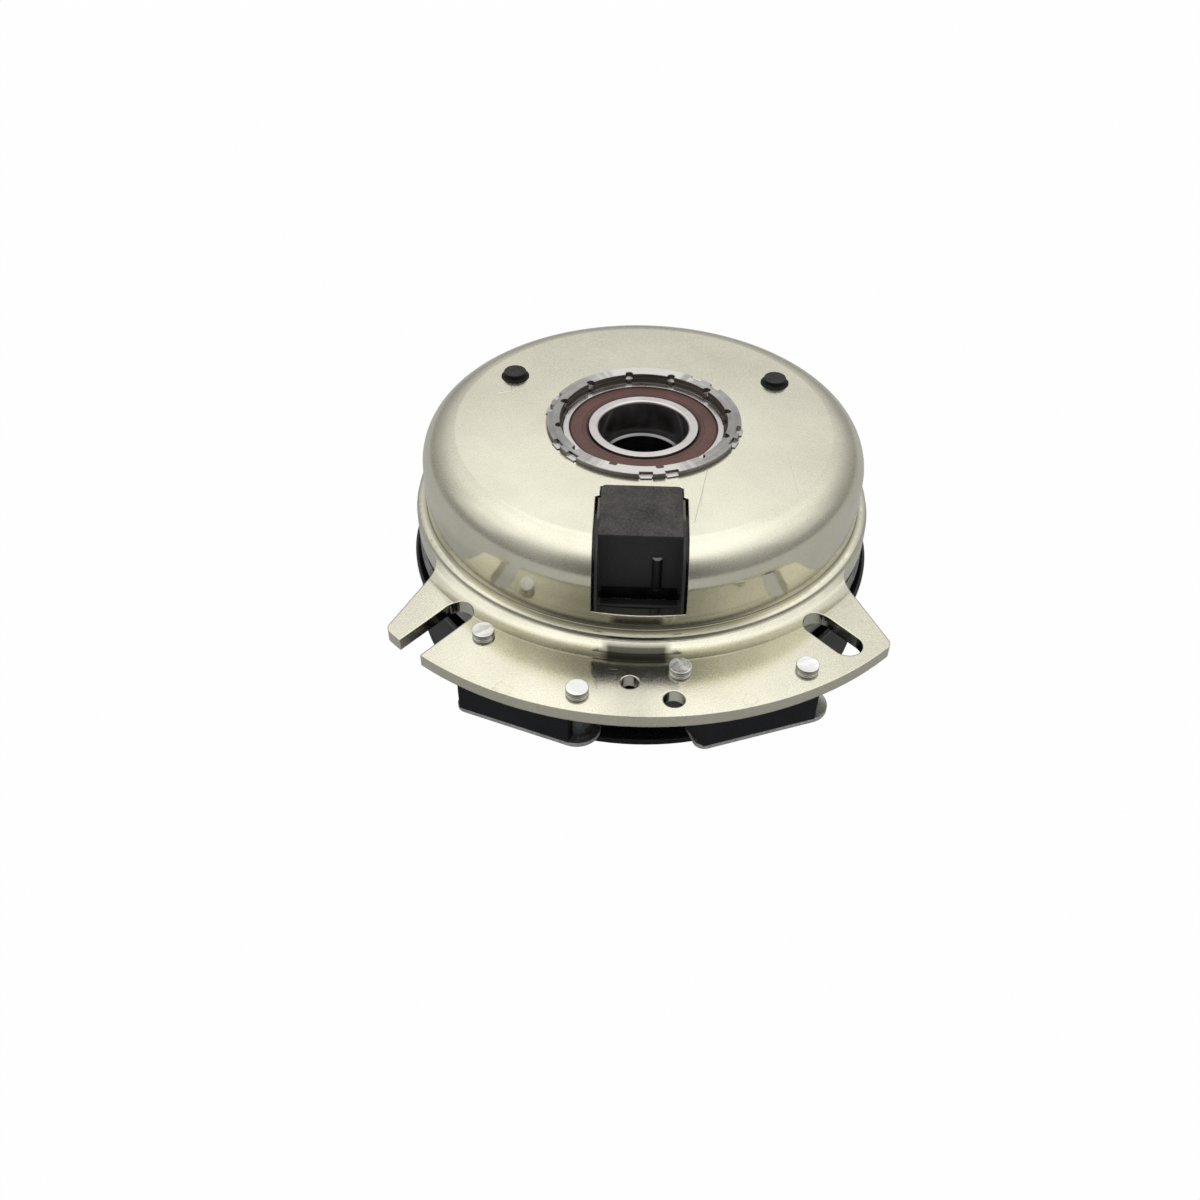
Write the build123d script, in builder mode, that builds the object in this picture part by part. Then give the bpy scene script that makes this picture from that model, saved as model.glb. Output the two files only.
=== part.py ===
"""Electric clutch for a mower's blade drive, with a permanent magnet brake.

Millimetres, +Z up along the crank axis. The origin is on that axis, in the
plane the clutch stands on, where the crank bore opens. The connector and the
flange face -Y. Places on the flange are angles from -Y, positive toward +X.
"""

import os
from math import cos, degrees, hypot, radians, sin, sqrt

from build123d import *

# Stations along the axis, from the pulley up
pulley_rim_gap = 0.435
shell_over_bearing = 1.6
pole_over_shell = 1.5

# Clearances
seat_play = 0.02
rivet_play = 0.05
potting_play = 0.1
running_gap = 0.1
air_gap = 0.4

# Field shell, a deep-drawn cup
shell_radius = 74.4
shell_height = 26.1
shell_wall = 3.6
shell_corner = 11.5
step_width = 2.9
step_height = 4.6
step_wall = 2.2
shoulder_width = 2.1
shoulder_round = 4.6
skirt_wall = 3.6
skirt_lead = 2.5

# Flange in one piece with the shell
flange_thickness = 4.2
flange_width = 28.7
flange_half_angle = 47.0
flange_root_angle = 57.0
ring_width = 0.6
sweep_width = 6.5
sweep_height = 2.4
sweep_round = 11.6
tip_round = 3.0
root_round = 7.0
slot_width = 9.6
slot_start = 7.9
slot_length = 11.8
closed_slot_place = 41.0
closed_slot_lean = 41.6
open_slot_place = -41.2
open_slot_lean = -37.6
small_hole_start = 14.9
small_hole_place = -1.2
small_hole_size = 5.3
large_hole_start = 21.8
large_hole_place = 6.4
large_hole_size = 6.5

# Window for the connector
window_half_width = 14.3
window_neck_half_width = 12.9
window_gap = 0.4
window_neck_length = 4.8
window_shoulder_length = 0.6
sill_height = 5.5

# Inner pole, turned, holding the bearing
pole_wall = 2.7
pole_head_width = 2.2
pole_lip_gap = 0.6
pole_outer_wall = 4.5
pole_shoulder_width = 2.0
pole_shoulder_height = 4.0
pole_below_step = 1.5
pole_lower_ledge = 2.3
punch_count = 12
punch_first = 11.0
punch_size = 2.6
punch_depth = 2.0
tab_width = 4.4
tab_cut = 1.4
tab_depth = 1.1
tab_spread = 0.7
tab_places = (-150.0, -135.0, -88.0, -73.0, -23.0, -10.0, 40.0, 55.0, 158.0, 172.0)

# Bearings: bore, outside, width and ball, then the number of balls
field_bearing_size = (30.0, 55.0, 13.0, 7.144)
pulley_bearing_size = (35.0, 62.0, 14.0, 7.938)
ball_count = 11
ball_play = 0.05
race_land = 0.413
race_round = 0.8
seal_thickness = 1.2
seal_recess = 0.3
seal_gap = 0.3
seal_hold = 0.8
seal_groove = 0.4
cage_wall = 1.3
cage_margin = 0.8

# Coil, its bobbin and the potting round it
potting_over_step = 0.5
bobbin_gap = 2.0
bobbin_wall = 1.5
bobbin_cover = 1.5
coil_cover = 12.2

# Connector
connector_over_shell = 0.8
plate_gap = 5.2
plate_half_width = 12.6
plate_round = 1.6
face_setback = 11.7
connector_wall = 2.4
rail_half_width = 13.4
rail_length = 5.2
rail_inset = 0.4
connector_floor_height = 1.0
connector_floor_thickness = 4.0
connector_floor_gap = 1.3
connector_floor_round = 1.2
contact_slot_half_width = 12.1
contact_slot_width = 3.2
contact_slot_depth = 3.2
latch_place = 5.2
latch_size = 3.1
latch_drop = 7.9
latch_foot = 2.0
terminal_width = 6.3
terminal_thickness = 0.8
terminal_pitch = 11.0
terminal_height = 1.7

# Plugs in the shell's top
plug_setback = 21.5
plug_place = 120.7
plug_top = 3.8
plug_foot = 4.9
plug_height = 2.2
plug_lip = 0.5
plug_neck = 3.2
plug_tail = 4.0
plug_tail_height = 1.1

# Brake units, in their own frames with -Y outward
unit_place = 20.6
unit_setback = 1.6
inner_rivet_side = -18.3
inner_rivet_setback = 19.0
outer_rivet_side = 17.9
outer_rivet_setback = 7.9
rivet_shank = 2.6
rivet_head = 3.45
rivet_head_height = 2.0
rivet_head_round = 0.5
rivet_tail_height = 1.5
spacer_radius = 4.9
brake_plate_thickness = 1.4
brake_plate_left = 19.5
brake_plate_right = 20.5
brake_plate_end = 7.2
brake_plate_end_x = 18.0
brake_plate_round = 6.3
brake_plate_lap = 4.9
brake_plate_corner = 3.4
block_height = 9.7
block_left = 17.6
block_right = 18.4
block_left_bulge = 20.0
block_gap = 2.3
block_relief = 0.7
block_back = 8.0
block_back_slope = 5.0
block_shoulder = 6.0
block_neck = 3.0

# Armature
armature_over_skirt = 0.6
armature_bore = 34.0
armature_thickness = 5.0
armature_chamfer = 0.6
armature_slot_setback = 24.4
armature_slot_width = 4.0
armature_slot_arc = 44.0

# Rotor
rotor_gap = 0.7
rotor_thickness = 6.0
rotor_rim_wall = 5.5
rotor_slot_width = 4.0
rotor_slot_setbacks = (28.0, 10.5)
slot_count = 6
rotor_slot_arc = 46.0
friction_setback = 15.0
friction_width = 9.0
friction_depth = 2.5

# Rotor hub
crank_bore = 25.4
key_width = 6.35
key_depth = 3.0
key_length = 50.0
pole_gap = 0.9
rotor_seat_step = 2.3
hub_body_step = 1.5
hub_neck_step = 3.2
hub_neck_height = 0.6
spigot_height = 1.2
bore_chamfer = 0.7

# Pulley, two pressed halves
pulley_radius = 80.0
pulley_sheet = 2.3
groove_mouth = 20.8
groove_foot_width = 8.06
groove_bottom = 61.5
bend_round = 1.2
lip_round = 0.6
foot_play = 0.2
web_setback = 0.5

# Pulley hub
pulley_hub_bottom = 1.4
pulley_hub_wall = 6.0
pulley_hub_flange_width = 16.0
retaining_lip_width = 3.5
snap_ring_thickness = 1.7
snap_ring_shoulder = 1.5
snap_ring_depth = 1.5
snap_ring_play = 0.3
snap_ring_width = 3.4
snap_ring_gap = 12.0
snap_ring_lug = 2.4
snap_ring_eye = 1.0
web_rivet_step = 6.0
web_rivet_count = 6
web_rivet_offset = -15.0
web_rivet_head = 4.2
web_rivet_head_height = 2.0
web_rivet_head_round = 0.6

# Leaf springs between pulley and armature
spring_count = 3
spring_inner_step = 9.0
spring_outer_setback = 15.9
spring_turn = 38.0
spring_width = 12.0
spring_thickness = 1.2
spring_standoff = 2.0
spring_rivet = 2.5
spring_rivet_head = 4.2
spring_rivet_head_height = 1.4
spring_rivet_head_round = 0.4
spring_spacer_rim = 0.8

# Pulley: the groove's sides, and its section from the plane it stands on
groove_depth = pulley_radius - groove_bottom
rim_side = groove_mouth / 2
groove_foot = groove_foot_width / 2
side_slope = (rim_side - groove_foot) / groove_depth
sheet_rise = pulley_sheet * hypot(1, side_slope)
middle_z = rim_side + sheet_rise
pulley_top = middle_z + rim_side + sheet_rise
upper_foot = middle_z + groove_foot
lower_foot = middle_z - groove_foot
web_top = upper_foot + pulley_sheet
web_bottom = upper_foot - pulley_sheet

# Heights that follow, upward from the pulley
plate_bottom = pulley_top + pulley_rim_gap
plate_top = plate_bottom + brake_plate_thickness
armature_bottom = plate_top + running_gap
armature_top = armature_bottom + armature_thickness
rotor_face = armature_top + air_gap
rotor_back = rotor_face + rotor_thickness
spring_top = armature_bottom - spring_standoff
spring_bottom = spring_top - spring_thickness
flange_bottom = plate_top + block_height
flange_top = flange_bottom + flange_thickness
step_z = flange_top + step_height
skirt_ceiling = step_z - step_wall
rotor_rim_top = skirt_ceiling - air_gap
shell_top = step_z + shell_height
shell_ceiling = shell_top - shell_wall
pole_top = shell_top + pole_over_shell
pole_bottom = step_z - pole_below_step
bearing_top = shell_top - shell_over_bearing
field_bearing_bottom = bearing_top - field_bearing_size[2]
pulley_bearing_bottom = pulley_hub_bottom + snap_ring_shoulder + snap_ring_thickness
pulley_bearing_top = pulley_bearing_bottom + pulley_bearing_size[2]
potting_bottom = step_z + potting_over_step
bobbin_top = shell_ceiling - bobbin_cover
window_sill = step_z + sill_height
connector_top = shell_top + connector_over_shell
connector_floor = step_z + connector_floor_height
connector_floor_top = connector_floor + connector_floor_thickness
latch_top = connector_top - latch_drop
latch_bottom = connector_floor_top + latch_foot

# Radii that follow: shell and flange
shell_inner = shell_radius - shell_wall
skirt_radius = shell_radius + step_width
skirt_inner = skirt_radius - skirt_wall
ring_radius = skirt_radius + ring_width
flange_radius = skirt_radius + flange_width
slot_start_radius = skirt_radius + slot_start
small_hole_radius = skirt_radius + small_hole_start
large_hole_radius = skirt_radius + large_hole_start
plug_radius = shell_radius - plug_setback

# Inner pole, coil and rotor
field_outside = field_bearing_size[1] / 2
pole_neck = field_outside + pole_wall
pole_head = pole_neck + pole_head_width
pole_lip = field_outside + pole_lip_gap
pole_outer = field_outside + pole_outer_wall
pole_shoulder = pole_outer + pole_shoulder_width
pole_lower_bore = field_outside - pole_lower_ledge
bobbin_radius = pole_shoulder + bobbin_gap
coil_radius = shell_inner - coil_cover
hub_pole = pole_lower_bore - pole_gap
rotor_seat = hub_pole - rotor_seat_step
hub_body = rotor_seat - hub_body_step
hub_neck = field_bearing_size[0] / 2 + hub_neck_step
rotor_radius = skirt_inner - rotor_gap
friction_outer = rotor_radius - friction_setback
friction_inner = friction_outer - friction_width
armature_radius = skirt_radius + armature_over_skirt
armature_slot_radius = armature_radius - armature_slot_setback

# Connector, its window and the brake units
plate_back = pole_head + plate_gap
window_back = plate_back - window_gap
window_neck = window_back + window_neck_length
window_shoulder = window_neck + window_shoulder_length
connector_face = shell_radius - face_setback
connector_floor_front = shell_inner - connector_floor_gap
rail_top_start = plate_back + rail_length
rail_start = connector_face - connector_wall
unit_face = flange_radius - unit_setback
inner_rivet = (inner_rivet_side, inner_rivet_setback - unit_face)
outer_rivet = (outer_rivet_side, outer_rivet_setback - unit_face)
brake_plate_inner = armature_radius - brake_plate_lap
block_inner = armature_radius + block_gap
rivet_hole = rivet_shank + rivet_play

# Pulley hub and springs
pulley_outside = pulley_bearing_size[1] / 2
pulley_eye = pulley_outside + pulley_hub_wall
pulley_hub_flange = pulley_eye + pulley_hub_flange_width
retaining_lip = pulley_outside - retaining_lip_width
snap_ring_groove = pulley_outside + snap_ring_depth
snap_ring_outer = snap_ring_groove - snap_ring_play
snap_ring_inner = snap_ring_outer - snap_ring_width
web_rivet_radius = pulley_eye + web_rivet_step
spring_inner_radius = pulley_eye + spring_inner_step
spring_outer_radius = armature_radius - spring_outer_setback
spring_hole = spring_rivet + rivet_play

os.makedirs("parts", exist_ok=True)


def polar(radius, place):
    """Point at a radius and a place on the flange."""
    return (radius * sin(radians(place)), -radius * cos(radians(place)))


def spring_point(radius, turn):
    """Point at a radius and an angle from +X."""
    return (radius * cos(radians(turn)), radius * sin(radians(turn)))


def turned(*points):
    """Body turned round the crank axis from an outline of (radius, height) points."""
    with BuildPart() as body:
        with BuildSketch(Plane.XZ):
            with BuildLine():
                Polyline(*points, close=True)
            make_face()
        revolve(axis=Axis.Z)
    return body


def unit_plane(height, place):
    """Plane of a brake unit, its own -Y pointing outward."""
    return Plane.XY.offset(height).rotated((0, 0, place))


def unit_point(point, place):
    """Point of a brake unit in the frame of the clutch."""
    turn = radians(place)
    x, y = point
    return (x * cos(turn) - y * sin(turn), x * sin(turn) + y * cos(turn))


unit_places = {"left": -unit_place, "right": unit_place}
brake_rivet_points = [
    unit_point(point, place) for place in unit_places.values() for point in (inner_rivet, outer_rivet)
]
plug_points = [polar(plug_radius, plug_place), polar(plug_radius, -plug_place)]


# Field shell: the drawn cup, then the flange cut to its outline
with BuildPart() as cup:
    with BuildSketch(Plane.XZ):
        with BuildLine():
            top_edge = shell_radius - shell_corner
            corner_z = shell_top - shell_corner
            shoulder_start = skirt_radius - shoulder_width
            shoulder_z = step_z - shoulder_round + sqrt(shoulder_round**2 - shoulder_width**2)
            Line((pole_neck, shell_ceiling), (pole_neck, shell_top))
            Line((pole_neck, shell_top), (top_edge, shell_top))
            RadiusArc((top_edge, shell_top), (shell_radius, corner_z), shell_corner)
            Line((shell_radius, corner_z), (shell_radius, step_z))
            Line((shell_radius, step_z), (shoulder_start, step_z))
            RadiusArc((shoulder_start, step_z), (skirt_radius, shoulder_z), shoulder_round)
            Line((skirt_radius, shoulder_z), (skirt_radius, flange_bottom))
            Line((skirt_radius, flange_bottom), (skirt_inner + skirt_lead, flange_bottom))
            RadiusArc(
                (skirt_inner + skirt_lead, flange_bottom),
                (skirt_inner, flange_bottom + skirt_lead),
                skirt_lead,
            )
            Line((skirt_inner, flange_bottom + skirt_lead), (skirt_inner, skirt_ceiling))
            Line((skirt_inner, skirt_ceiling), (shell_inner, skirt_ceiling))
            Line((shell_inner, skirt_ceiling), (shell_inner, corner_z))
            RadiusArc((shell_inner, corner_z), (top_edge, shell_ceiling), shell_wall - shell_corner)
            Line((top_edge, shell_ceiling), (pole_neck, shell_ceiling))
        make_face()
    revolve(axis=Axis.Z)

with BuildPart() as flange:
    with BuildSketch(Plane.XZ):
        with BuildLine():
            # The sweep leaves the skirt under its shoulder and ends in a faint crease
            blank_inner = skirt_inner + skirt_lead
            sweep_z = flange_top + sweep_height
            sweep_end = skirt_radius + sweep_width
            Line((blank_inner, flange_bottom), (blank_inner, sweep_z))
            Line((blank_inner, sweep_z), (skirt_radius, sweep_z))
            RadiusArc((skirt_radius, sweep_z), (sweep_end, flange_top), -sweep_round)
            Line((sweep_end, flange_top), (flange_radius, flange_top))
            Line((flange_radius, flange_top), (flange_radius, flange_bottom))
            Line((flange_radius, flange_bottom), (blank_inner, flange_bottom))
        make_face()
    revolve(axis=Axis.Z)
    with BuildSketch(Plane.XY.offset(flange_bottom)):
        with BuildLine():
            root_left = polar(ring_radius, -flange_root_angle)
            root_right = polar(ring_radius, flange_root_angle)
            tip_left = polar(flange_radius, -flange_half_angle)
            tip_right = polar(flange_radius, flange_half_angle)
            Line(root_left, tip_left)
            RadiusArc(tip_left, tip_right, -flange_radius)
            Line(tip_right, root_right)
            Line(root_right, (0, 0))
            Line((0, 0), root_left)
        make_face()
        tips = vertices().filter_by(lambda v: hypot(v.X, v.Y) > ring_radius + tip_round)
        fillet(tips, tip_round)
        Circle(ring_radius)
        fillet(vertices().filter_by(lambda v: abs(hypot(v.X, v.Y) - ring_radius) < 0.01), root_round)
        for place, lean, length in (
            (closed_slot_place, closed_slot_lean, slot_length),
            (open_slot_place, open_slot_lean, 3 * slot_length),
        ):
            slot_start = Vector(*polar(slot_start_radius, place))
            with Locations(slot_start + Vector(*polar(length / 2, lean))):
                SlotCenterToCenter(length, slot_width, rotation=lean - 90, mode=Mode.SUBTRACT)
        with Locations(*brake_rivet_points):
            Circle(rivet_hole, mode=Mode.SUBTRACT)
        with Locations(polar(small_hole_radius, small_hole_place)):
            Circle(small_hole_size / 2, mode=Mode.SUBTRACT)
        with Locations(polar(large_hole_radius, large_hole_place)):
            Circle(large_hole_size / 2, mode=Mode.SUBTRACT)
    extrude(amount=flange_thickness + sweep_height, mode=Mode.INTERSECT)

with BuildPart() as field_shell:
    add(cup.part)
    add(flange.part)
    # Window for the connector, narrower where it cuts the dome near the pole
    with BuildSketch(Plane.XY.offset(window_sill)):
        with BuildLine():
            Polyline(
                (-window_neck_half_width, -window_back),
                (window_neck_half_width, -window_back),
                (window_neck_half_width, -window_neck),
                (window_half_width, -window_shoulder),
                (window_half_width, -skirt_radius),
                (-window_half_width, -skirt_radius),
                (-window_half_width, -window_shoulder),
                (-window_neck_half_width, -window_neck),
                close=True,
            )
        make_face()
    extrude(amount=shell_top - window_sill + 1, mode=Mode.SUBTRACT)
    # Holes for the plugs
    with BuildSketch(Plane.XY.offset(shell_top)):
        with Locations(*plug_points):
            Circle(plug_neck)
    extrude(amount=-shell_wall - 1, mode=Mode.SUBTRACT)
field_shell.part.label = "field_shell"
export_step(field_shell.part, "parts/field_shell.step")

# Inner pole: turned with a head over the shell, then staked all round
field_seat = field_outside + seat_play
with BuildPart() as bearing_hub:
    add(
        turned(
            (pole_lower_bore, pole_bottom),
            (pole_outer, pole_bottom),
            (pole_outer, shell_ceiling - pole_shoulder_height),
            (pole_shoulder, shell_ceiling - pole_shoulder_height),
            (pole_shoulder, shell_ceiling),
            (pole_neck, shell_ceiling),
            (pole_neck, shell_top),
            (pole_head, shell_top),
            (pole_head, pole_top),
            (pole_lip, pole_top),
            (pole_lip, bearing_top),
            (field_seat, bearing_top),
            (field_seat, field_bearing_bottom),
            (pole_lower_bore, field_bearing_bottom),
        ).part
    )
    # Punch marks in the lip, each with its bump over the bearing
    with BuildSketch(Plane.XY.offset(pole_top)):
        with PolarLocations(pole_lip + punch_size / 6, punch_count, start_angle=punch_first):
            Circle(punch_size / 2)
    extrude(amount=-punch_depth, mode=Mode.SUBTRACT)
    with BuildSketch(Plane.XY.offset(bearing_top)):
        with PolarLocations(pole_lip + punch_size / 6, punch_count, start_angle=punch_first):
            Circle(punch_size / 2)
    extrude(amount=pole_top - punch_depth - bearing_top)
    # Square marks in the head's edge, each spread over the shell
    tab_turns = [Location((0, 0, 0), (0, 0, place)) for place in tab_places]
    with BuildSketch(Plane.XY.offset(pole_top)):
        with Locations(*tab_turns):
            with Locations((pole_head, 0)):
                Rectangle(2 * tab_cut, tab_width)
    extrude(amount=-tab_depth, mode=Mode.SUBTRACT)
    with BuildSketch(Plane.XY.offset(shell_top)):
        with Locations(*tab_turns):
            with Locations((pole_head + tab_spread / 2 - tab_cut / 2, 0)):
                Rectangle(tab_spread + tab_cut, tab_width - tab_spread)
    extrude(amount=pole_over_shell - tab_depth)
bearing_hub.part.label = "bearing_hub"
export_step(bearing_hub.part, "parts/bearing_hub.step")


def bearing(size, bottom):
    """Ball bearing standing on a height: inner ring, outer ring, seals, balls and cage."""
    bore, outside, width, ball = size
    pitch = (bore + outside) / 4
    middle = bottom + width / 2
    top = bottom + width
    inner_land = pitch - race_land * ball
    outer_land = pitch + race_land * ball
    seal_edge = outer_land + seal_hold
    seal_seat = seal_thickness + seal_recess

    with BuildPart() as inner_ring:
        with BuildSketch(Plane.XZ):
            with Locations(((bore / 2 + inner_land) / 2, middle)):
                Rectangle(inner_land - bore / 2, width)
            fillet(vertices().group_by(Axis.X)[0], race_round)
            with Locations((pitch, middle)):
                Circle(ball / 2, mode=Mode.SUBTRACT)
        revolve(axis=Axis.Z)

    with BuildPart() as outer_ring:
        with BuildSketch(Plane.XZ):
            with Locations(((outer_land + outside / 2) / 2, middle)):
                Rectangle(outside / 2 - outer_land, width)
            fillet(vertices().group_by(Axis.X)[-1], race_round)
            with Locations((outer_land, top - seal_seat / 2), (outer_land, bottom + seal_seat / 2)):
                Rectangle(2 * seal_hold, seal_seat, mode=Mode.SUBTRACT)
            with Locations((pitch, middle)):
                Circle(ball / 2, mode=Mode.SUBTRACT)
        revolve(axis=Axis.Z)

    # A seal at each face, with a groove near both edges on the outward side
    with BuildPart() as seals:
        for face, outward in ((top - seal_recess, 1), (bottom + seal_recess, -1)):
            with BuildSketch(Plane.XZ):
                seal_inner = inner_land + seal_gap
                seal_middle = (seal_inner + seal_edge - seat_play) / 2
                with Locations((seal_middle, face - outward * seal_thickness / 2)):
                    Rectangle(seal_edge - seat_play - seal_inner, seal_thickness)
                with Locations((seal_inner + 2.5 * seal_groove, face), (seal_edge - 1.5 * seal_groove, face)):
                    Rectangle(seal_groove, seal_groove, mode=Mode.SUBTRACT)
            revolve(axis=Axis.Z)

    with BuildPart() as balls:
        with Locations((0, 0, middle)):
            with PolarLocations(pitch, ball_count):
                Sphere(ball / 2 - ball_play)

    # Ring cage, drilled from the side for the balls
    with BuildPart() as cage:
        with BuildSketch(Plane.XY.offset(middle)):
            Circle(pitch + cage_wall / 2)
            Circle(pitch - cage_wall / 2, mode=Mode.SUBTRACT)
        extrude(amount=ball / 2 + cage_margin, both=True)
        with Locations((0, 0, middle)):
            with PolarLocations(pitch, ball_count):
                Cylinder(ball / 2 + ball_play, 4 * cage_wall, rotation=(0, 90, 0), mode=Mode.SUBTRACT)

    return inner_ring, outer_ring, seals, balls, cage


field_set = bearing(field_bearing_size, field_bearing_bottom)
pulley_set = bearing(pulley_bearing_size, pulley_bearing_bottom)
for prefix, bearing_set in (("field_bearing", field_set), ("pulley_bearing", pulley_set)):
    for piece, member in zip(("inner_ring", "outer_ring", "seals", "balls", "cage"), bearing_set):
        member.part.label = f"{prefix}_{piece}"
        export_step(member.part, f"parts/{member.part.label}.step")

# Bobbin, winding and potting
with BuildPart() as coil_bobbin:
    add(
        turned(
            (bobbin_radius, potting_bottom),
            (coil_radius, potting_bottom),
            (coil_radius, potting_bottom + bobbin_wall),
            (bobbin_radius + bobbin_wall, potting_bottom + bobbin_wall),
            (bobbin_radius + bobbin_wall, bobbin_top - bobbin_wall),
            (coil_radius, bobbin_top - bobbin_wall),
            (coil_radius, bobbin_top),
            (bobbin_radius, bobbin_top),
        ).part
    )
coil_bobbin.part.label = "coil_bobbin"
export_step(coil_bobbin.part, "parts/coil_bobbin.step")

with BuildPart() as coil_winding:
    with BuildSketch(Plane.XY.offset(potting_bottom + bobbin_wall)):
        Circle(coil_radius)
        Circle(bobbin_radius + bobbin_wall, mode=Mode.SUBTRACT)
    extrude(amount=bobbin_top - potting_bottom - 2 * bobbin_wall)
coil_winding.part.label = "coil_winding"
export_step(coil_winding.part, "parts/coil_winding.step")

with BuildPart() as coil_potting:
    with BuildSketch(Plane.XZ):
        with BuildLine():
            potting_inner = pole_outer + potting_play
            potting_notch = pole_shoulder + potting_play
            potting_outer = shell_inner - potting_play
            potting_top = shell_ceiling - potting_play
            notch_z = shell_ceiling - pole_shoulder_height - potting_play
            inner_corner = shell_corner - shell_wall
            Line((potting_inner, potting_bottom), (potting_outer, potting_bottom))
            Line((potting_outer, potting_bottom), (potting_outer, potting_top - inner_corner))
            RadiusArc(
                (potting_outer, potting_top - inner_corner),
                (potting_outer - inner_corner, potting_top),
                -inner_corner,
            )
            Line((potting_outer - inner_corner, potting_top), (potting_notch, potting_top))
            Line((potting_notch, potting_top), (potting_notch, notch_z))
            Line((potting_notch, notch_z), (potting_inner, notch_z))
            Line((potting_inner, notch_z), (potting_inner, potting_bottom))
        make_face()
    revolve(axis=Axis.Z)
    with BuildSketch(Plane.XY.offset(potting_bottom)):
        Circle(coil_radius + potting_play)
        Circle(bobbin_radius - potting_play, mode=Mode.SUBTRACT)
    extrude(amount=bobbin_top - potting_bottom + potting_play, mode=Mode.SUBTRACT)
    # Room for the connector's pocket and for the plugs' tails
    with BuildSketch(Plane.XY.offset(connector_floor - potting_play)):
        with Locations((0, -rail_start + potting_play)):
            Rectangle(
                2 * (rail_half_width + potting_play),
                shell_radius - rail_start,
                align=(Align.CENTER, Align.MAX),
            )
    extrude(amount=shell_top - connector_floor, mode=Mode.SUBTRACT)
    with BuildSketch(Plane.XY.offset(shell_ceiling)):
        with Locations(*plug_points):
            Circle(plug_tail + potting_play)
    extrude(amount=-plug_tail_height - potting_play, mode=Mode.SUBTRACT)
coil_potting.part.label = "coil_potting"
export_step(coil_potting.part, "parts/coil_potting.step")

# Connector: top plate, front wall, floor with its slot, and rails cut to the dome
with BuildPart() as rails:
    with BuildSketch(Plane.XY.offset(connector_floor)):
        for side in (-1, 1):
            with Locations((side * (plate_half_width + rail_half_width) / 2, -(rail_start + shell_radius) / 2)):
                Rectangle(rail_half_width - plate_half_width, shell_radius - rail_start)
    extrude(amount=connector_top - connector_floor)
    with BuildSketch(Plane.XY.offset(shell_ceiling)):
        for side in (-1, 1):
            with Locations((side * (plate_half_width + rail_half_width) / 2, -rail_top_start)):
                Rectangle(
                    rail_half_width - plate_half_width,
                    rail_start - rail_top_start,
                    align=(Align.CENTER, Align.MAX),
                )
    extrude(amount=connector_top - shell_ceiling)
    with BuildSketch(Plane.XZ):
        with BuildLine():
            rail_low = shell_inner - potting_play
            rail_high = shell_radius - rail_inset
            rail_corner = shell_corner - rail_inset
            corner_start = shell_top - shell_corner
            Line((0, connector_floor), (rail_low, connector_floor))
            Line((rail_low, connector_floor), (rail_low, window_sill + potting_play))
            Line((rail_low, window_sill + potting_play), (rail_high, window_sill + potting_play))
            Line((rail_high, window_sill + potting_play), (rail_high, corner_start))
            RadiusArc(
                (rail_high, corner_start),
                (rail_high - rail_corner, corner_start + rail_corner),
                -rail_corner,
            )
            Line((rail_high - rail_corner, corner_start + rail_corner), (0, corner_start + rail_corner))
            Line((0, corner_start + rail_corner), (0, connector_floor))
        make_face()
    revolve(axis=Axis.Z, mode=Mode.INTERSECT)

with BuildPart() as connector_housing:
    with BuildSketch(Plane.XY.offset(connector_top)):
        with Locations((0, -plate_back)):
            Rectangle(2 * plate_half_width, connector_face - plate_back, align=(Align.CENTER, Align.MAX))
        fillet(vertices().group_by(Axis.Y)[-1], plate_round)
    extrude(amount=shell_ceiling - connector_top)
    with BuildSketch(Plane.XY.offset(connector_floor)):
        with Locations((0, connector_wall - connector_face)):
            Rectangle(2 * plate_half_width, connector_wall, align=(Align.CENTER, Align.MAX))
    extrude(amount=connector_top - connector_floor)
    with BuildSketch(Plane.XY.offset(connector_floor)):
        with Locations((0, connector_wall - connector_face)):
            Rectangle(
                2 * plate_half_width,
                connector_floor_front - connector_face + connector_wall,
                align=(Align.CENTER, Align.MAX),
            )
    extrude(amount=connector_floor_top - connector_floor)
    lip = edges().filter_by(Axis.X).sort_by_distance((0, -connector_floor_front, connector_floor_top))[0]
    fillet(lip, connector_floor_round)
    add(rails.part)
    # Slot for the mating contacts and the half-round latch rib
    with BuildSketch(Plane.XY.offset(connector_floor_top)):
        with Locations((0, -connector_face)):
            Rectangle(2 * contact_slot_half_width, contact_slot_width, align=(Align.CENTER, Align.MAX))
    extrude(amount=-contact_slot_depth, mode=Mode.SUBTRACT)
    with BuildSketch(Plane.XY.offset(latch_bottom)):
        with Locations((latch_place, -connector_face)):
            Circle(latch_size / 2)
    extrude(amount=latch_top - latch_bottom)
connector_housing.part.label = "connector_housing"
export_step(connector_housing.part, "parts/connector_housing.step")

with BuildPart() as terminal_pins:
    with BuildSketch(Plane.XY.offset(connector_floor_top - contact_slot_depth)):
        with Locations((0, -connector_face - contact_slot_width / 2)):
            with GridLocations(terminal_pitch, 0, 2, 1):
                Rectangle(terminal_width, terminal_thickness)
    extrude(amount=terminal_height)
terminal_pins.part.label = "terminal_pins"
export_step(terminal_pins.part, "parts/terminal_pins.step")

with BuildPart() as shell_plugs:
    plug = turned(
        (0, -shell_wall - plug_tail_height),
        (plug_tail, -shell_wall - plug_tail_height),
        (plug_tail, -shell_wall),
        (plug_neck - rivet_play, -shell_wall),
        (plug_neck - rivet_play, 0),
        (plug_foot, 0),
        (plug_foot, plug_lip / 2),
        (plug_top + plug_lip / 2, plug_lip),
        (plug_top, plug_height - plug_lip / 2),
        (plug_top - plug_lip / 2, plug_height),
        (0, plug_height),
    )
    with Locations(*[(x, y, shell_top) for x, y in plug_points]):
        add(plug.part)
shell_plugs.part.label = "shell_plugs"
export_step(shell_plugs.part, "parts/shell_plugs.step")

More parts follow.
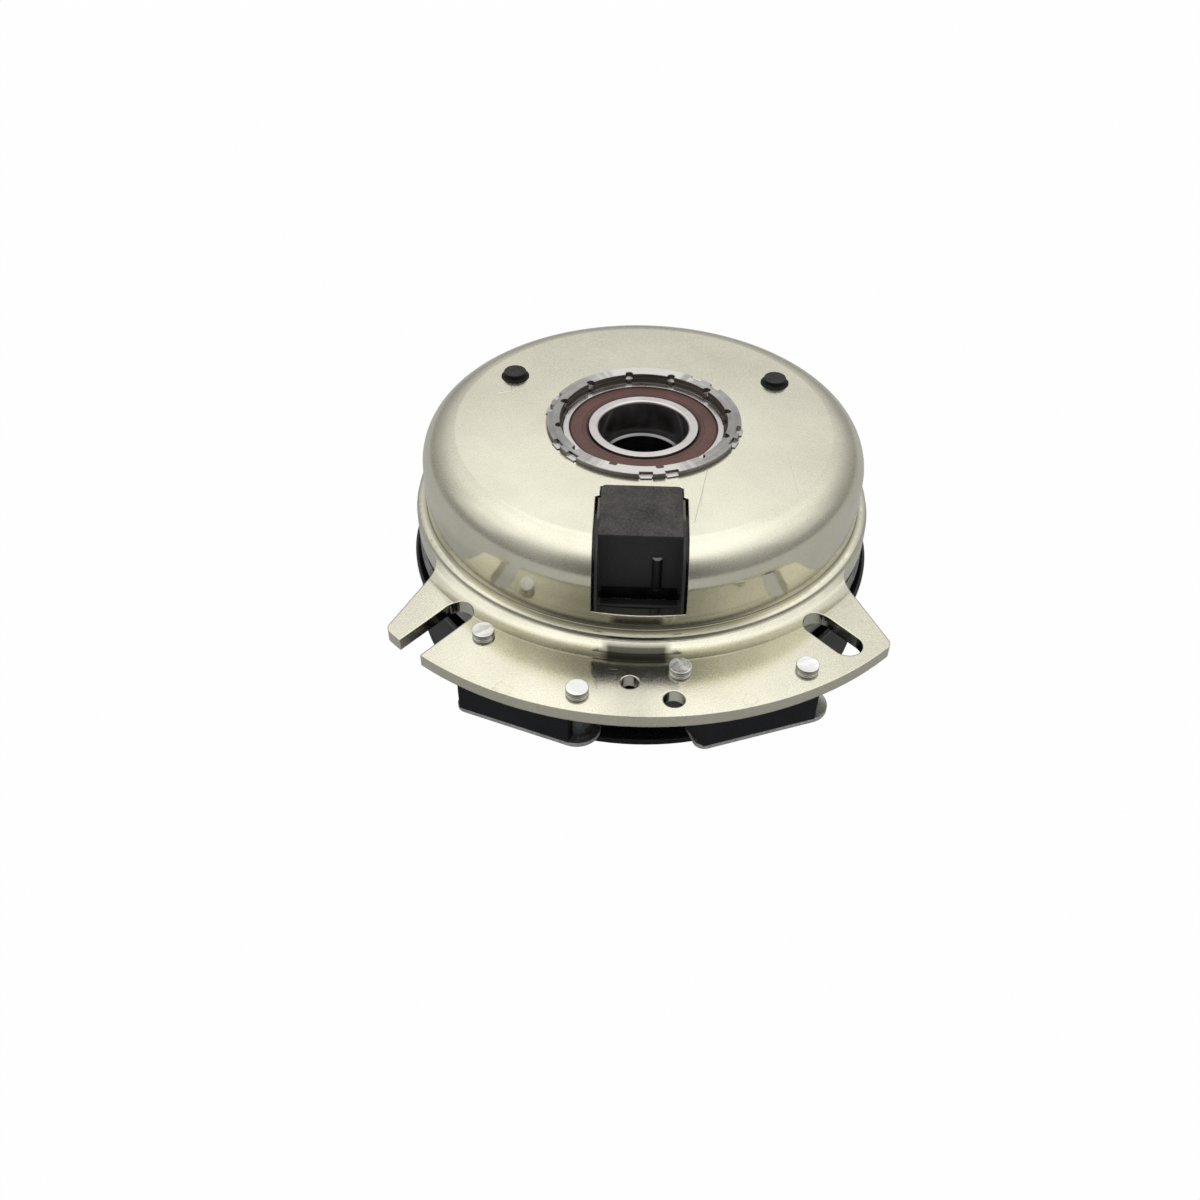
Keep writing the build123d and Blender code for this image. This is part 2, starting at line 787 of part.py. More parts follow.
# Brake units: a plate under each magnet block, hung on two rivets with spacers
for side, place in unit_places.items():
    with BuildPart() as brake_plate:
        with BuildSketch(unit_plane(plate_bottom, place)):
            with BuildLine():
                Polyline(
                    (-brake_plate_left, -unit_face),
                    (brake_plate_end_x, -unit_face),
                    (brake_plate_right, -unit_face + brake_plate_end),
                    (brake_plate_right, 0),
                    (-brake_plate_left, 0),
                    close=True,
                )
            make_face()
            front_corner = vertices().sort_by_distance((-brake_plate_left, -unit_face, 0))[0]
            fillet(front_corner, brake_plate_corner)
            with Locations((brake_plate_end_x, brake_plate_end - unit_face)):
                Circle(brake_plate_end)
            with Locations(inner_rivet):
                Circle(brake_plate_round)
            Circle(brake_plate_inner, mode=Mode.SUBTRACT)
            with Locations(inner_rivet, outer_rivet):
                Circle(rivet_hole, mode=Mode.SUBTRACT)
        extrude(amount=brake_plate_thickness)
    brake_plate.part.label = f"brake_plate_{side}"
    export_step(brake_plate.part, f"parts/brake_plate_{side}.step")

    with BuildPart() as brake_block:
        with BuildSketch(unit_plane(plate_top, place)):
            with BuildLine():
                Polyline(
                    (-block_left, -unit_face),
                    (block_right, -unit_face),
                    (block_right, -block_inner - block_neck),
                    (block_right - block_back_slope, -block_inner + block_back),
                    (-block_left + block_shoulder, -block_inner + block_back),
                    (-block_left + block_shoulder, inner_rivet[1]),
                    (-block_left_bulge, inner_rivet[1] - spacer_radius - block_neck),
                    (-block_left_bulge, -unit_face + block_back),
                    close=True,
                )
            make_face()
            Circle(block_inner, mode=Mode.SUBTRACT)
            with Locations(inner_rivet, outer_rivet):
                Circle(spacer_radius + block_relief, mode=Mode.SUBTRACT)
        extrude(amount=block_height)
    brake_block.part.label = f"brake_block_{side}"
    export_step(brake_block.part, f"parts/brake_block_{side}.step")

with BuildPart() as brake_spacers:
    with BuildSketch(Plane.XY.offset(plate_top)):
        with Locations(*brake_rivet_points):
            Circle(spacer_radius)
            Circle(rivet_hole, mode=Mode.SUBTRACT)
    extrude(amount=block_height)
brake_spacers.part.label = "brake_spacers"
export_step(brake_spacers.part, "parts/brake_spacers.step")

with BuildPart() as brake_rivets:
    brake_rivet = turned(
        (0, plate_bottom - rivet_tail_height),
        (rivet_head - rivet_head_round, plate_bottom - rivet_tail_height),
        (rivet_head, plate_bottom - rivet_tail_height + rivet_head_round),
        (rivet_head, plate_bottom),
        (rivet_shank, plate_bottom),
        (rivet_shank, flange_top),
        (rivet_head, flange_top),
        (rivet_head, flange_top + rivet_head_height - rivet_head_round),
        (rivet_head - rivet_head_round, flange_top + rivet_head_height),
        (0, flange_top + rivet_head_height),
    )
    with Locations(*brake_rivet_points):
        add(brake_rivet.part)
brake_rivets.part.label = "brake_rivets"
export_step(brake_rivets.part, "parts/brake_rivets.step")

# Rotor: pressed disc with banana slots, friction ring and keyed hub
with BuildPart() as rotor_disc:
    add(
        turned(
            (rotor_seat + seat_play, rotor_face),
            (friction_inner, rotor_face),
            (friction_inner, rotor_face + friction_depth),
            (friction_outer, rotor_face + friction_depth),
            (friction_outer, rotor_face),
            (rotor_radius, rotor_face),
            (rotor_radius, rotor_rim_top),
            (rotor_radius - rotor_rim_wall, rotor_rim_top),
            (rotor_radius - rotor_rim_wall, rotor_back),
            (rotor_seat + seat_play, rotor_back),
        ).part
    )
    with BuildSketch(Plane.XY.offset(rotor_face)):
        for setback in rotor_slot_setbacks:
            with BuildLine(mode=Mode.PRIVATE) as slot_line:
                CenterArc((0, 0), rotor_radius - setback, -rotor_slot_arc / 2, rotor_slot_arc)
            with PolarLocations(0, slot_count):
                SlotArc(slot_line.edge(), rotor_slot_width)
    extrude(amount=rotor_thickness, mode=Mode.SUBTRACT)
rotor_disc.part.label = "rotor_disc"
export_step(rotor_disc.part, "parts/rotor_disc.step")

with BuildPart() as rotor_friction_ring:
    with BuildSketch(Plane.XY.offset(rotor_face)):
        Circle(friction_outer - rivet_play)
        Circle(friction_inner + rivet_play, mode=Mode.SUBTRACT)
    extrude(amount=friction_depth)
rotor_friction_ring.part.label = "rotor_friction_ring"
export_step(rotor_friction_ring.part, "parts/rotor_friction_ring.step")

with BuildPart() as rotor_hub:
    journal = pulley_bearing_size[0] / 2 - seat_play
    spigot = field_bearing_size[0] / 2 - seat_play
    bore = crank_bore / 2
    spigot_top = field_bearing_bottom + spigot_height
    add(
        turned(
            (bore, 0),
            (journal - bore_chamfer, 0),
            (journal, bore_chamfer),
            (journal, pulley_bearing_top),
            (hub_body, pulley_bearing_top),
            (hub_body, rotor_face),
            (rotor_seat, rotor_face),
            (rotor_seat, rotor_back),
            (hub_pole, rotor_back),
            (hub_pole, field_bearing_bottom - hub_neck_height),
            (hub_neck, field_bearing_bottom - hub_neck_height),
            (hub_neck, field_bearing_bottom),
            (spigot, field_bearing_bottom),
            (spigot, spigot_top),
            (bore + bore_chamfer, spigot_top),
            (bore, spigot_top - bore_chamfer),
        ).part
    )
    with BuildSketch(Plane.XY):
        with Locations((0, bore + key_depth)):
            Rectangle(key_width, 2 * key_depth + 1, align=(Align.CENTER, Align.MAX))
    extrude(amount=key_length, mode=Mode.SUBTRACT)
rotor_hub.part.label = "rotor_hub"
export_step(rotor_hub.part, "parts/rotor_hub.step")

# Armature: ground plate with slots between the rotor's, riveted to the springs
spring_turns = [i * 360 / spring_count for i in range(spring_count)]
pulley_ends = [spring_point(spring_inner_radius, turn) for turn in spring_turns]
armature_ends = [spring_point(spring_outer_radius, turn + spring_turn) for turn in spring_turns]
countersink = spring_rivet_head - spring_rivet
with BuildPart() as armature_plate:
    with BuildSketch(Plane.XY.offset(armature_bottom)):
        Circle(armature_radius)
        Circle(armature_bore, mode=Mode.SUBTRACT)
        with BuildLine(mode=Mode.PRIVATE) as armature_slot_line:
            CenterArc((0, 0), armature_slot_radius, -armature_slot_arc / 2, armature_slot_arc)
        with PolarLocations(0, slot_count, start_angle=180 / slot_count):
            SlotArc(armature_slot_line.edge(), armature_slot_width, mode=Mode.SUBTRACT)
    extrude(amount=armature_thickness)
    rim = edges().filter_by(GeomType.CIRCLE).filter_by(lambda e: abs(e.radius - armature_radius) < 0.01)
    chamfer(rim, armature_chamfer)
    with Locations(*[(x, y, armature_top) for x, y in armature_ends]):
        CounterSinkHole(
            spring_rivet + rivet_play, spring_rivet_head + rivet_play, armature_thickness, 90
        )
armature_plate.part.label = "armature_plate"
export_step(armature_plate.part, "parts/armature_plate.step")

with BuildPart() as armature_spring_rivets:
    armature_rivet = turned(
        (0, spring_bottom - spring_rivet_head_height),
        (spring_rivet_head - spring_rivet_head_round, spring_bottom - spring_rivet_head_height),
        (spring_rivet_head, spring_bottom - spring_rivet_head_height + spring_rivet_head_round),
        (spring_rivet_head, spring_bottom),
        (spring_rivet, spring_bottom),
        (spring_rivet, armature_top - countersink),
        (spring_rivet_head - running_gap, armature_top - running_gap),
        (0, armature_top - running_gap),
    )
    with Locations(*armature_ends):
        add(armature_rivet.part)
armature_spring_rivets.part.label = "armature_spring_rivets"
export_step(armature_spring_rivets.part, "parts/armature_spring_rivets.step")

with BuildPart() as spring_spacers:
    with BuildSketch(Plane.XY.offset(spring_top)):
        with Locations(*armature_ends):
            Circle(spring_rivet_head + spring_spacer_rim)
            Circle(spring_hole, mode=Mode.SUBTRACT)
    extrude(amount=spring_standoff)
spring_spacers.part.label = "spring_spacers"
export_step(spring_spacers.part, "parts/spring_spacers.step")

with BuildPart() as leaf_springs:
    with BuildSketch(Plane.XY.offset(spring_bottom)):
        for start, end in zip(pulley_ends, armature_ends):
            with BuildLine(mode=Mode.PRIVATE) as leaf_line:
                Line(start, end)
            SlotArc(leaf_line.edge(), spring_width)
        with Locations(*pulley_ends, *armature_ends):
            Circle(spring_hole, mode=Mode.SUBTRACT)
    extrude(amount=spring_thickness)
leaf_springs.part.label = "leaf_springs"
export_step(leaf_springs.part, "parts/leaf_springs.step")

# Pulley: two halves bent from sheet, meeting at the upper foot of the groove
web_rivet_points = [
    spring_point(web_rivet_radius, web_rivet_offset + i * 360 / web_rivet_count)
    for i in range(web_rivet_count)
]


def pulley_half(*points):
    """Half of the pulley from its section, with the web's holes."""
    with BuildPart() as half:
        with BuildSketch(Plane.XZ):
            with BuildLine():
                Polyline(*points, close=True)
            make_face()
            rim_corners = vertices().group_by(Axis.X)[-1]
            fillet(rim_corners, lip_round)
            foot_corners = vertices().filter_by(
                lambda v: groove_bottom - 1.1 * pulley_sheet < v.X < groove_bottom + bend_round
            )
            fillet(foot_corners, bend_round)
        revolve(axis=Axis.Z)
        with BuildSketch(Plane.XY.offset(web_bottom)):
            with Locations(*web_rivet_points):
                Circle(rivet_hole)
            with Locations(*pulley_ends):
                Circle(spring_hole)
        extrude(amount=web_top - web_bottom, mode=Mode.SUBTRACT)
    return half


eye = pulley_eye + rivet_play
pulley_upper_half = pulley_half(
    (eye, upper_foot),
    (groove_bottom + foot_play, upper_foot),
    (pulley_radius, middle_z + rim_side),
    (pulley_radius, middle_z + rim_side + sheet_rise),
    (groove_bottom, upper_foot + sheet_rise),
    (groove_bottom - web_setback, web_top),
    (eye, web_top),
)
pulley_upper_half.part.label = "pulley_upper_half"
export_step(pulley_upper_half.part, "parts/pulley_upper_half.step")

pulley_lower_half = pulley_half(
    (eye, web_bottom),
    (groove_bottom - pulley_sheet, web_bottom),
    (groove_bottom - pulley_sheet, lower_foot - pulley_sheet / 2),
    (pulley_radius, 0),
    (pulley_radius, middle_z - rim_side),
    (groove_bottom, lower_foot),
    (groove_bottom, upper_foot),
    (eye, upper_foot),
)
pulley_lower_half.part.label = "pulley_lower_half"
export_step(pulley_lower_half.part, "parts/pulley_lower_half.step")

with BuildPart() as pulley_hub:
    hub_seat = pulley_outside + seat_play
    add(
        turned(
            (hub_seat, pulley_hub_bottom),
            (pulley_eye, pulley_hub_bottom),
            (pulley_eye, web_top),
            (pulley_hub_flange, web_top),
            (pulley_hub_flange, spring_bottom),
            (retaining_lip, spring_bottom),
            (retaining_lip, pulley_bearing_top),
            (hub_seat, pulley_bearing_top),
            (hub_seat, pulley_bearing_bottom),
            (snap_ring_groove, pulley_bearing_bottom),
            (snap_ring_groove, pulley_bearing_bottom - snap_ring_thickness - rivet_play),
            (hub_seat, pulley_bearing_bottom - snap_ring_thickness - rivet_play),
        ).part
    )
    with BuildSketch(Plane.XY.offset(web_top)):
        with Locations(*web_rivet_points):
            Circle(rivet_hole)
        with Locations(*pulley_ends):
            Circle(spring_hole)
    extrude(amount=spring_bottom - web_top, mode=Mode.SUBTRACT)
pulley_hub.part.label = "pulley_hub"
export_step(pulley_hub.part, "parts/pulley_hub.step")

with BuildPart() as pulley_snap_ring:
    with BuildSketch(Plane.XY.offset(pulley_bearing_bottom - snap_ring_thickness)):
        lug_turn = 90 - degrees((snap_ring_gap / 2 + snap_ring_lug) / snap_ring_inner)
        lug_points = [spring_point(snap_ring_inner, turn) for turn in (lug_turn, 180 - lug_turn)]
        Circle(snap_ring_outer)
        Circle(snap_ring_inner, mode=Mode.SUBTRACT)
        with Locations((0, snap_ring_outer)):
            Rectangle(snap_ring_gap, snap_ring_outer, mode=Mode.SUBTRACT)
        with Locations(*lug_points):
            Circle(snap_ring_lug)
            Circle(snap_ring_eye, mode=Mode.SUBTRACT)
    extrude(amount=snap_ring_thickness)
pulley_snap_ring.part.label = "pulley_snap_ring"
export_step(pulley_snap_ring.part, "parts/pulley_snap_ring.step")

with BuildPart() as hub_rivets:
    web_rivet = turned(
        (0, web_bottom - web_rivet_head_height),
        (web_rivet_head - web_rivet_head_round, web_bottom - web_rivet_head_height),
        (web_rivet_head, web_bottom - web_rivet_head_height + web_rivet_head_round),
        (web_rivet_head, web_bottom),
        (rivet_shank, web_bottom),
        (rivet_shank, spring_bottom),
        (web_rivet_head, spring_bottom),
        (web_rivet_head, spring_bottom + web_rivet_head_height - web_rivet_head_round),
        (web_rivet_head - web_rivet_head_round, spring_bottom + web_rivet_head_height),
        (0, spring_bottom + web_rivet_head_height),
    )
    with Locations(*web_rivet_points):
        add(web_rivet.part)
hub_rivets.part.label = "hub_rivets"
export_step(hub_rivets.part, "parts/hub_rivets.step")

with BuildPart() as pulley_spring_rivets:
    pulley_rivet = turned(
        (0, web_bottom - spring_rivet_head_height),
        (spring_rivet_head - spring_rivet_head_round, web_bottom - spring_rivet_head_height),
        (spring_rivet_head, web_bottom - spring_rivet_head_height + spring_rivet_head_round),
        (spring_rivet_head, web_bottom),
        (spring_rivet, web_bottom),
        (spring_rivet, spring_top),
        (spring_rivet_head, spring_top),
        (spring_rivet_head, spring_top + spring_rivet_head_height - spring_rivet_head_round),
        (spring_rivet_head - spring_rivet_head_round, spring_top + spring_rivet_head_height),
        (0, spring_top + spring_rivet_head_height),
    )
    with Locations(*pulley_ends):
        add(pulley_rivet.part)
pulley_spring_rivets.part.label = "pulley_spring_rivets"
export_step(pulley_spring_rivets.part, "parts/pulley_spring_rivets.step")
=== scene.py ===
from math import cos, pi, radians, sin

import bmesh
import bpy
import numpy as np
from mathutils import Matrix, Vector


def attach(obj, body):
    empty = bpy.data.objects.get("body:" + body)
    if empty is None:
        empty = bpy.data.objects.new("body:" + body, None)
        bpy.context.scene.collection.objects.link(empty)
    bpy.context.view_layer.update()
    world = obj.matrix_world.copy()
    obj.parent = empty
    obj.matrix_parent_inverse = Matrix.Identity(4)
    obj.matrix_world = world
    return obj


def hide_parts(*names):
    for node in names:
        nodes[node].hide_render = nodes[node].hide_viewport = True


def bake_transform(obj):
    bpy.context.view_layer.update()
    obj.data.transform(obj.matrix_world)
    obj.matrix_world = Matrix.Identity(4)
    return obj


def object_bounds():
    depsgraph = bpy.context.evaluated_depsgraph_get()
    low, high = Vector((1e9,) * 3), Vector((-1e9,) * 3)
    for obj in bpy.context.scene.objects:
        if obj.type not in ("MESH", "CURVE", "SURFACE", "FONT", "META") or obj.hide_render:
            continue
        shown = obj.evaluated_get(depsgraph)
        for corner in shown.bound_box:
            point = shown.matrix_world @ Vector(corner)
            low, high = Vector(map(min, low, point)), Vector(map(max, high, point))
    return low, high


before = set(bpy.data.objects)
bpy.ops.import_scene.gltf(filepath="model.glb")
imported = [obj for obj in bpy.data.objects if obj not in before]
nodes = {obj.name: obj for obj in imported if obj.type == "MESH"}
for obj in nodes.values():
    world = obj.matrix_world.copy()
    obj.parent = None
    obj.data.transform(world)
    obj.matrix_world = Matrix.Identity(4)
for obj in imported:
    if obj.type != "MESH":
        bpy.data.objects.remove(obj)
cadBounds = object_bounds()
scene = bpy.context.scene
print("frame loaded:", len(nodes), "nodes")


# node helpers: each returns an output socket
def addNode(tree, kind, inputs=None, **settings):
    node = tree.nodes.new(kind)
    for key, value in settings.items():
        setattr(node, key, value)
    for key, value in (inputs or {}).items():
        if isinstance(value, bpy.types.NodeSocket):
            tree.links.new(value, node.inputs[key])
        else:
            node.inputs[key].default_value = value
    return node


def calc(tree, operation, a, b=0.0, clamp=False):
    return addNode(tree, "ShaderNodeMath", {0: a, 1: b}, operation=operation, use_clamp=clamp).outputs[0]


def vectorCalc(tree, operation, inputs, out=0):
    return addNode(tree, "ShaderNodeVectorMath", inputs, operation=operation).outputs[out]


def place(tree, scale=(1, 1, 1), turn=(0, 0, 0)):
    coords = addNode(tree, "ShaderNodeTexCoord").outputs["Object"]
    inputs = {"Vector": coords, "Scale": scale, "Rotation": turn}
    return addNode(tree, "ShaderNodeMapping", inputs).outputs[0]


def noise(tree, coords, scale, detail=3.0, rough=0.5, distortion=0.0):
    inputs = {
        "Vector": coords, "Scale": scale, "Detail": detail, "Roughness": rough, "Distortion": distortion,
    }
    return addNode(tree, "ShaderNodeTexNoise", inputs).outputs[0]


def remap(tree, value, low, high, toLow=0.0, toHigh=1.0, smooth=False):
    inputs = {"Value": value, 1: low, 2: high, 3: toLow, 4: toHigh}
    kind = "SMOOTHSTEP" if smooth else "LINEAR"
    return addNode(tree, "ShaderNodeMapRange", inputs, interpolation_type=kind).outputs[0]


def mixColour(tree, factor, a, b):
    return addNode(tree, "ShaderNodeMix", {0: factor, 6: a, 7: b}, data_type="RGBA").outputs[2]


def mixed(tree, a, b, share):
    # share of a and the rest of b
    return calc(tree, "ADD", calc(tree, "MULTIPLY", a, share), calc(tree, "MULTIPLY", b, 1 - share))


def bump(tree, height, distance, strength=1.0, normal=None):
    inputs = {"Height": height, "Distance": distance, "Strength": strength}
    if normal is not None:
        inputs["Normal"] = normal
    return addNode(tree, "ShaderNodeBump", inputs).outputs[0]


def edgeRound(tree, radius):
    return addNode(tree, "ShaderNodeBevel", {"Radius": radius}, samples=8).outputs[0]


def axisOf(tree, which):
    coords = addNode(tree, "ShaderNodeTexCoord").outputs["Object"]
    return addNode(tree, "ShaderNodeSeparateXYZ", {0: coords}).outputs[which]


def flatPlace(tree):
    return vectorCalc(tree, "MULTIPLY", {0: place(tree), 1: (1, 1, 0)})


def radiusOf(tree):
    return vectorCalc(tree, "LENGTH", {0: flatPlace(tree)}, "Value")


def stroke(tree, start, end, width):
    # a thin line from start to end: how near a place is to the closest point between them
    start, end = Vector(start), Vector(end)
    along = end - start
    offset = vectorCalc(tree, "SUBTRACT", {0: place(tree), 1: start})
    reach = vectorCalc(tree, "DOT_PRODUCT", {0: offset, 1: along}, "Value")
    share = calc(tree, "DIVIDE", reach, along.length_squared, clamp=True)
    near = vectorCalc(tree, "SCALE", {0: along, "Scale": share})
    gap = vectorCalc(tree, "DISTANCE", {0: offset, 1: near}, "Value")
    return remap(tree, gap, width, width * 0.35)


def ringTangent(tree):
    # direction round the axis: the axis crossed with the place
    around = vectorCalc(tree, "CROSS_PRODUCT", {0: (0, 0, 1), 1: place(tree)})
    settings = {"vector_type": "VECTOR", "convert_from": "OBJECT", "convert_to": "WORLD"}
    return addNode(tree, "ShaderNodeVectorTransform", {0: around}, **settings).outputs[0]


def measure(tree, what):
    # x, y or z; aside and ends are the distance from the middle plane, and level is how far a face
    # looks up
    if what == "radius":
        return radiusOf(tree)
    if what in ("aside", "ends"):
        return calc(tree, "ABSOLUTE", axisOf(tree, 0))
    if what == "level":
        normal = addNode(tree, "ShaderNodeTexCoord").outputs["Normal"]
        return addNode(tree, "ShaderNodeSeparateXYZ", {0: normal}).outputs[2]
    return axisOf(tree, "xyz".index(what))


def limited(tree, limits, share=1.0):
    # share where every limit holds: a limit of two numbers rises from the first to the second, one
    # of four also falls from the third to the fourth, and the ramp of ends is eased
    for what, limit in limits.items():
        value = measure(tree, what)
        share = calc(tree, "MULTIPLY", remap(tree, value, *limit[:2], smooth=what == "ends"), share)
        if len(limit) == 4:
            share = calc(tree, "MULTIPLY", remap(tree, value, limit[3], limit[2]), share)
    return share


def shader(name, **inputs):
    material = bpy.data.materials.new(name)
    material.use_nodes = True
    tree = material.node_tree
    tree.nodes.clear()
    principled = addNode(tree, "ShaderNodeBsdfPrincipled", inputs)
    addNode(tree, "ShaderNodeOutputMaterial", {0: principled.outputs[0]})
    return material, tree, principled


def feed(tree, principled, **sockets):
    names = {"colour": "Base Color", "roughness": "Roughness", "normal": "Normal"}
    for key, socket in sockets.items():
        tree.links.new(socket, principled.inputs[names[key]])


def tint(material, factor, colour):
    # lays another colour over the finish where factor is 1
    tree = material.node_tree
    principled = [n for n in tree.nodes if n.type == "BSDF_PRINCIPLED"][0]
    under = principled.inputs["Base Color"].links[0].from_socket
    tree.links.new(mixColour(tree, factor, under, colour), principled.inputs["Base Color"])


def paint(material, layers):
    # each layer is a colour and its areas, each with a strength and limits; where two areas of a
    # layer meet, the stronger one counts
    tree = material.node_tree
    for colour, *areas in layers:
        amount = 0.0
        for share, limits in areas:
            amount = calc(tree, "MAXIMUM", limited(tree, limits, share), amount)
        tint(material, amount, colour)


# the shell's zinc plate: lengths in metres, a pair is the start and the end of a ramp
zincSettings = {
    "light": (0.87, 0.845, 0.700, 1), "dark": (0.74, 0.720, 0.592, 1), "edge": 0.0006,
    "cloud": (38, 4, 0.6), "grain": (2300, 3, 0.7), "cloudShare": 0.55, "contrast": (0.36, 0.64),
    "satin": 0.22, "drawn": 0.12, "flange": 0.11,  # roughness of the top, the drawn wall and the flange
    "wallTop": (0.0600, 0.0680), "wallFoot": (0.0440, 0.0430), "flangeTop": (0.0424, 0.0419),
    "flangeReach": (0.0990, 0.0870, 0.3, 1.0), "grainRough": (-0.05, 0.07), "scratchRough": -0.10,
    "hair": (((55, 2600, 300), 0.5, 0.70), ((2300, 45, 300), -0.35, 0.71)),  # stretch, turn, threshold
    "hairSoft": 0.06, "hairDepth": 0.8, "bump": (0.00001, 0.7), "speckle": (0.07, 0.12),
    "skirtTurn": (0.0446, 0.0438, 0, 0.0006), "sweepFlat": (0.0792, 0.0832, 0, 0.0008),
}

# shade painted in fixed places on the shell, after the dark parts of its reflections in the photo
zincShade = (
    (
        (0.06, 0.055, 0.04, 1),
        (0.24, {"radius": (0.0795, 0.0805, 0.0835, 0.0845), "z": (0.0450, 0.0440)}),  # ring in the sweep
        (0.62, {"radius": (0.0760, 0.0743), "z": (0.0452, 0.0458, 0.0461, 0.0467)}),  # foot of the wall
        (0.72, {"radius": (0.0330, 0.0322), "z": (0.0700, 0.0715)}),  # beside the hub
        (0.06, {"z": (0.0424, 0.0419)}),  # flange
        (0.26, {  # middle of the flange
            "z": (0.0424, 0.0419), "x": (-0.0135, -0.0035, 0.0015, 0.0115), "y": (-0.0800, -0.0840),
        }),
        (0.24, {"radius": (0.10565, 0.10585), "z": (0.0413, 0.0411)}),  # cut edge of the flange
        (0.62, {  # bead of the step, along the front
            "radius": (0.0739, 0.0745, 0.0769, 0.0775), "z": (0.0437, 0.0443, 0.0460, 0.0466),
            "y": (-0.030, -0.040), "ends": (0.0510, 0.0250),
        }),
        (0.20, {  # wall at the front left
            "z": (0.0445, 0.0485, 0.0550, 0.0590), "radius": (0.0735, 0.0740), "y": (-0.030, -0.040),
            "x": (0.0, -0.020),
        }),
    ),
    (
        (0.016, 0.015, 0.012, 1),
        (0.90, {  # sweep in front of the connector
            "x": (-0.0114, -0.0086, 0.0080, 0.0108), "radius": (0.0773, 0.0791, 0.0837, 0.0855),
            "y": (-0.060, -0.065),
        }),
    ),
)

markSettings = {
    "dark": (0.12, 0.11, 0.08, 1), "pale": (1.0, 0.98, 0.86, 1), "stain": (0.50, 0.42, 0.22, 1),
    "scratches": (  # start, end, width, strength
        ((0.0206, -0.0270, 0.0721), (0.0160, -0.0545, 0.0721), 0.00018, 0.40),
        ((0.0190, -0.0362, 0.0721), (0.0181, -0.0466, 0.0721), 0.00015, 0.30),
        ((0.0466, -0.0160, 0.0721), (0.0484, -0.0385, 0.0721), 0.00015, 0.18),
        ((-0.0466, 0.0222, 0.0721), (-0.0457, 0.0163, 0.0721), 0.00016, 0.45),
        ((-0.0438, 0.0112, 0.0721), (-0.0354, 0.0091, 0.0721), 0.00014, 0.20),
        ((0.0228, 0.0464, 0.0721), (0.0239, 0.0257, 0.0721), 0.00012, 0.10),
        ((0.0606, 0.0073, 0.0712), (0.0675, 0.0095, 0.0690), 0.00020, 0.35),
    ),
    "scuffs": (
        ((-0.0504, 0.0154, 0.0721), (-0.0454, 0.0170, 0.0721), 0.00030, 0.8),
    ),
    "stains": (  # place and size
        ((-0.0388, -0.0971, 0.0414), 0.0030), ((0.0330, -0.0978, 0.0414), 0.0026),
        ((0.0659, -0.0538, 0.0414), 0.0020), ((0.0703, -0.0639, 0.0414), 0.0022),
    ),
    "rim": (0.80, 0.92), "rimSoft": 0.0002, "rimShare": 0.45, "ragged": 0.0014,
}


def zincMarks(material):
    # single scratches and scuffs, then stains with ragged rims
    use, tree = markSettings, material.node_tree
    for kind, colour in (("scratches", use["dark"]), ("scuffs", use["pale"])):
        for start, end, width, strength in use[kind]:
            tint(material, calc(tree, "MULTIPLY", stroke(tree, start, end, width), strength), colour)
    ragged = remap(tree, noise(tree, place(tree), 420, 3, 0.65), 0.3, 0.7, -use["ragged"], use["ragged"])
    soft = use["rimSoft"]
    for centre, size in use["stains"]:
        offset = vectorCalc(tree, "DISTANCE", {0: place(tree), 1: centre}, "Value")
        reach = calc(tree, "ADD", offset, ragged)
        inner, outer = (size * part for part in use["rim"])
        rising = remap(tree, reach, inner - soft, inner + soft)
        falling = remap(tree, reach, outer + soft, outer - soft)
        rim = calc(tree, "MULTIPLY", rising, falling)
        tint(material, calc(tree, "MULTIPLY", rim, use["rimShare"]), use["stain"])


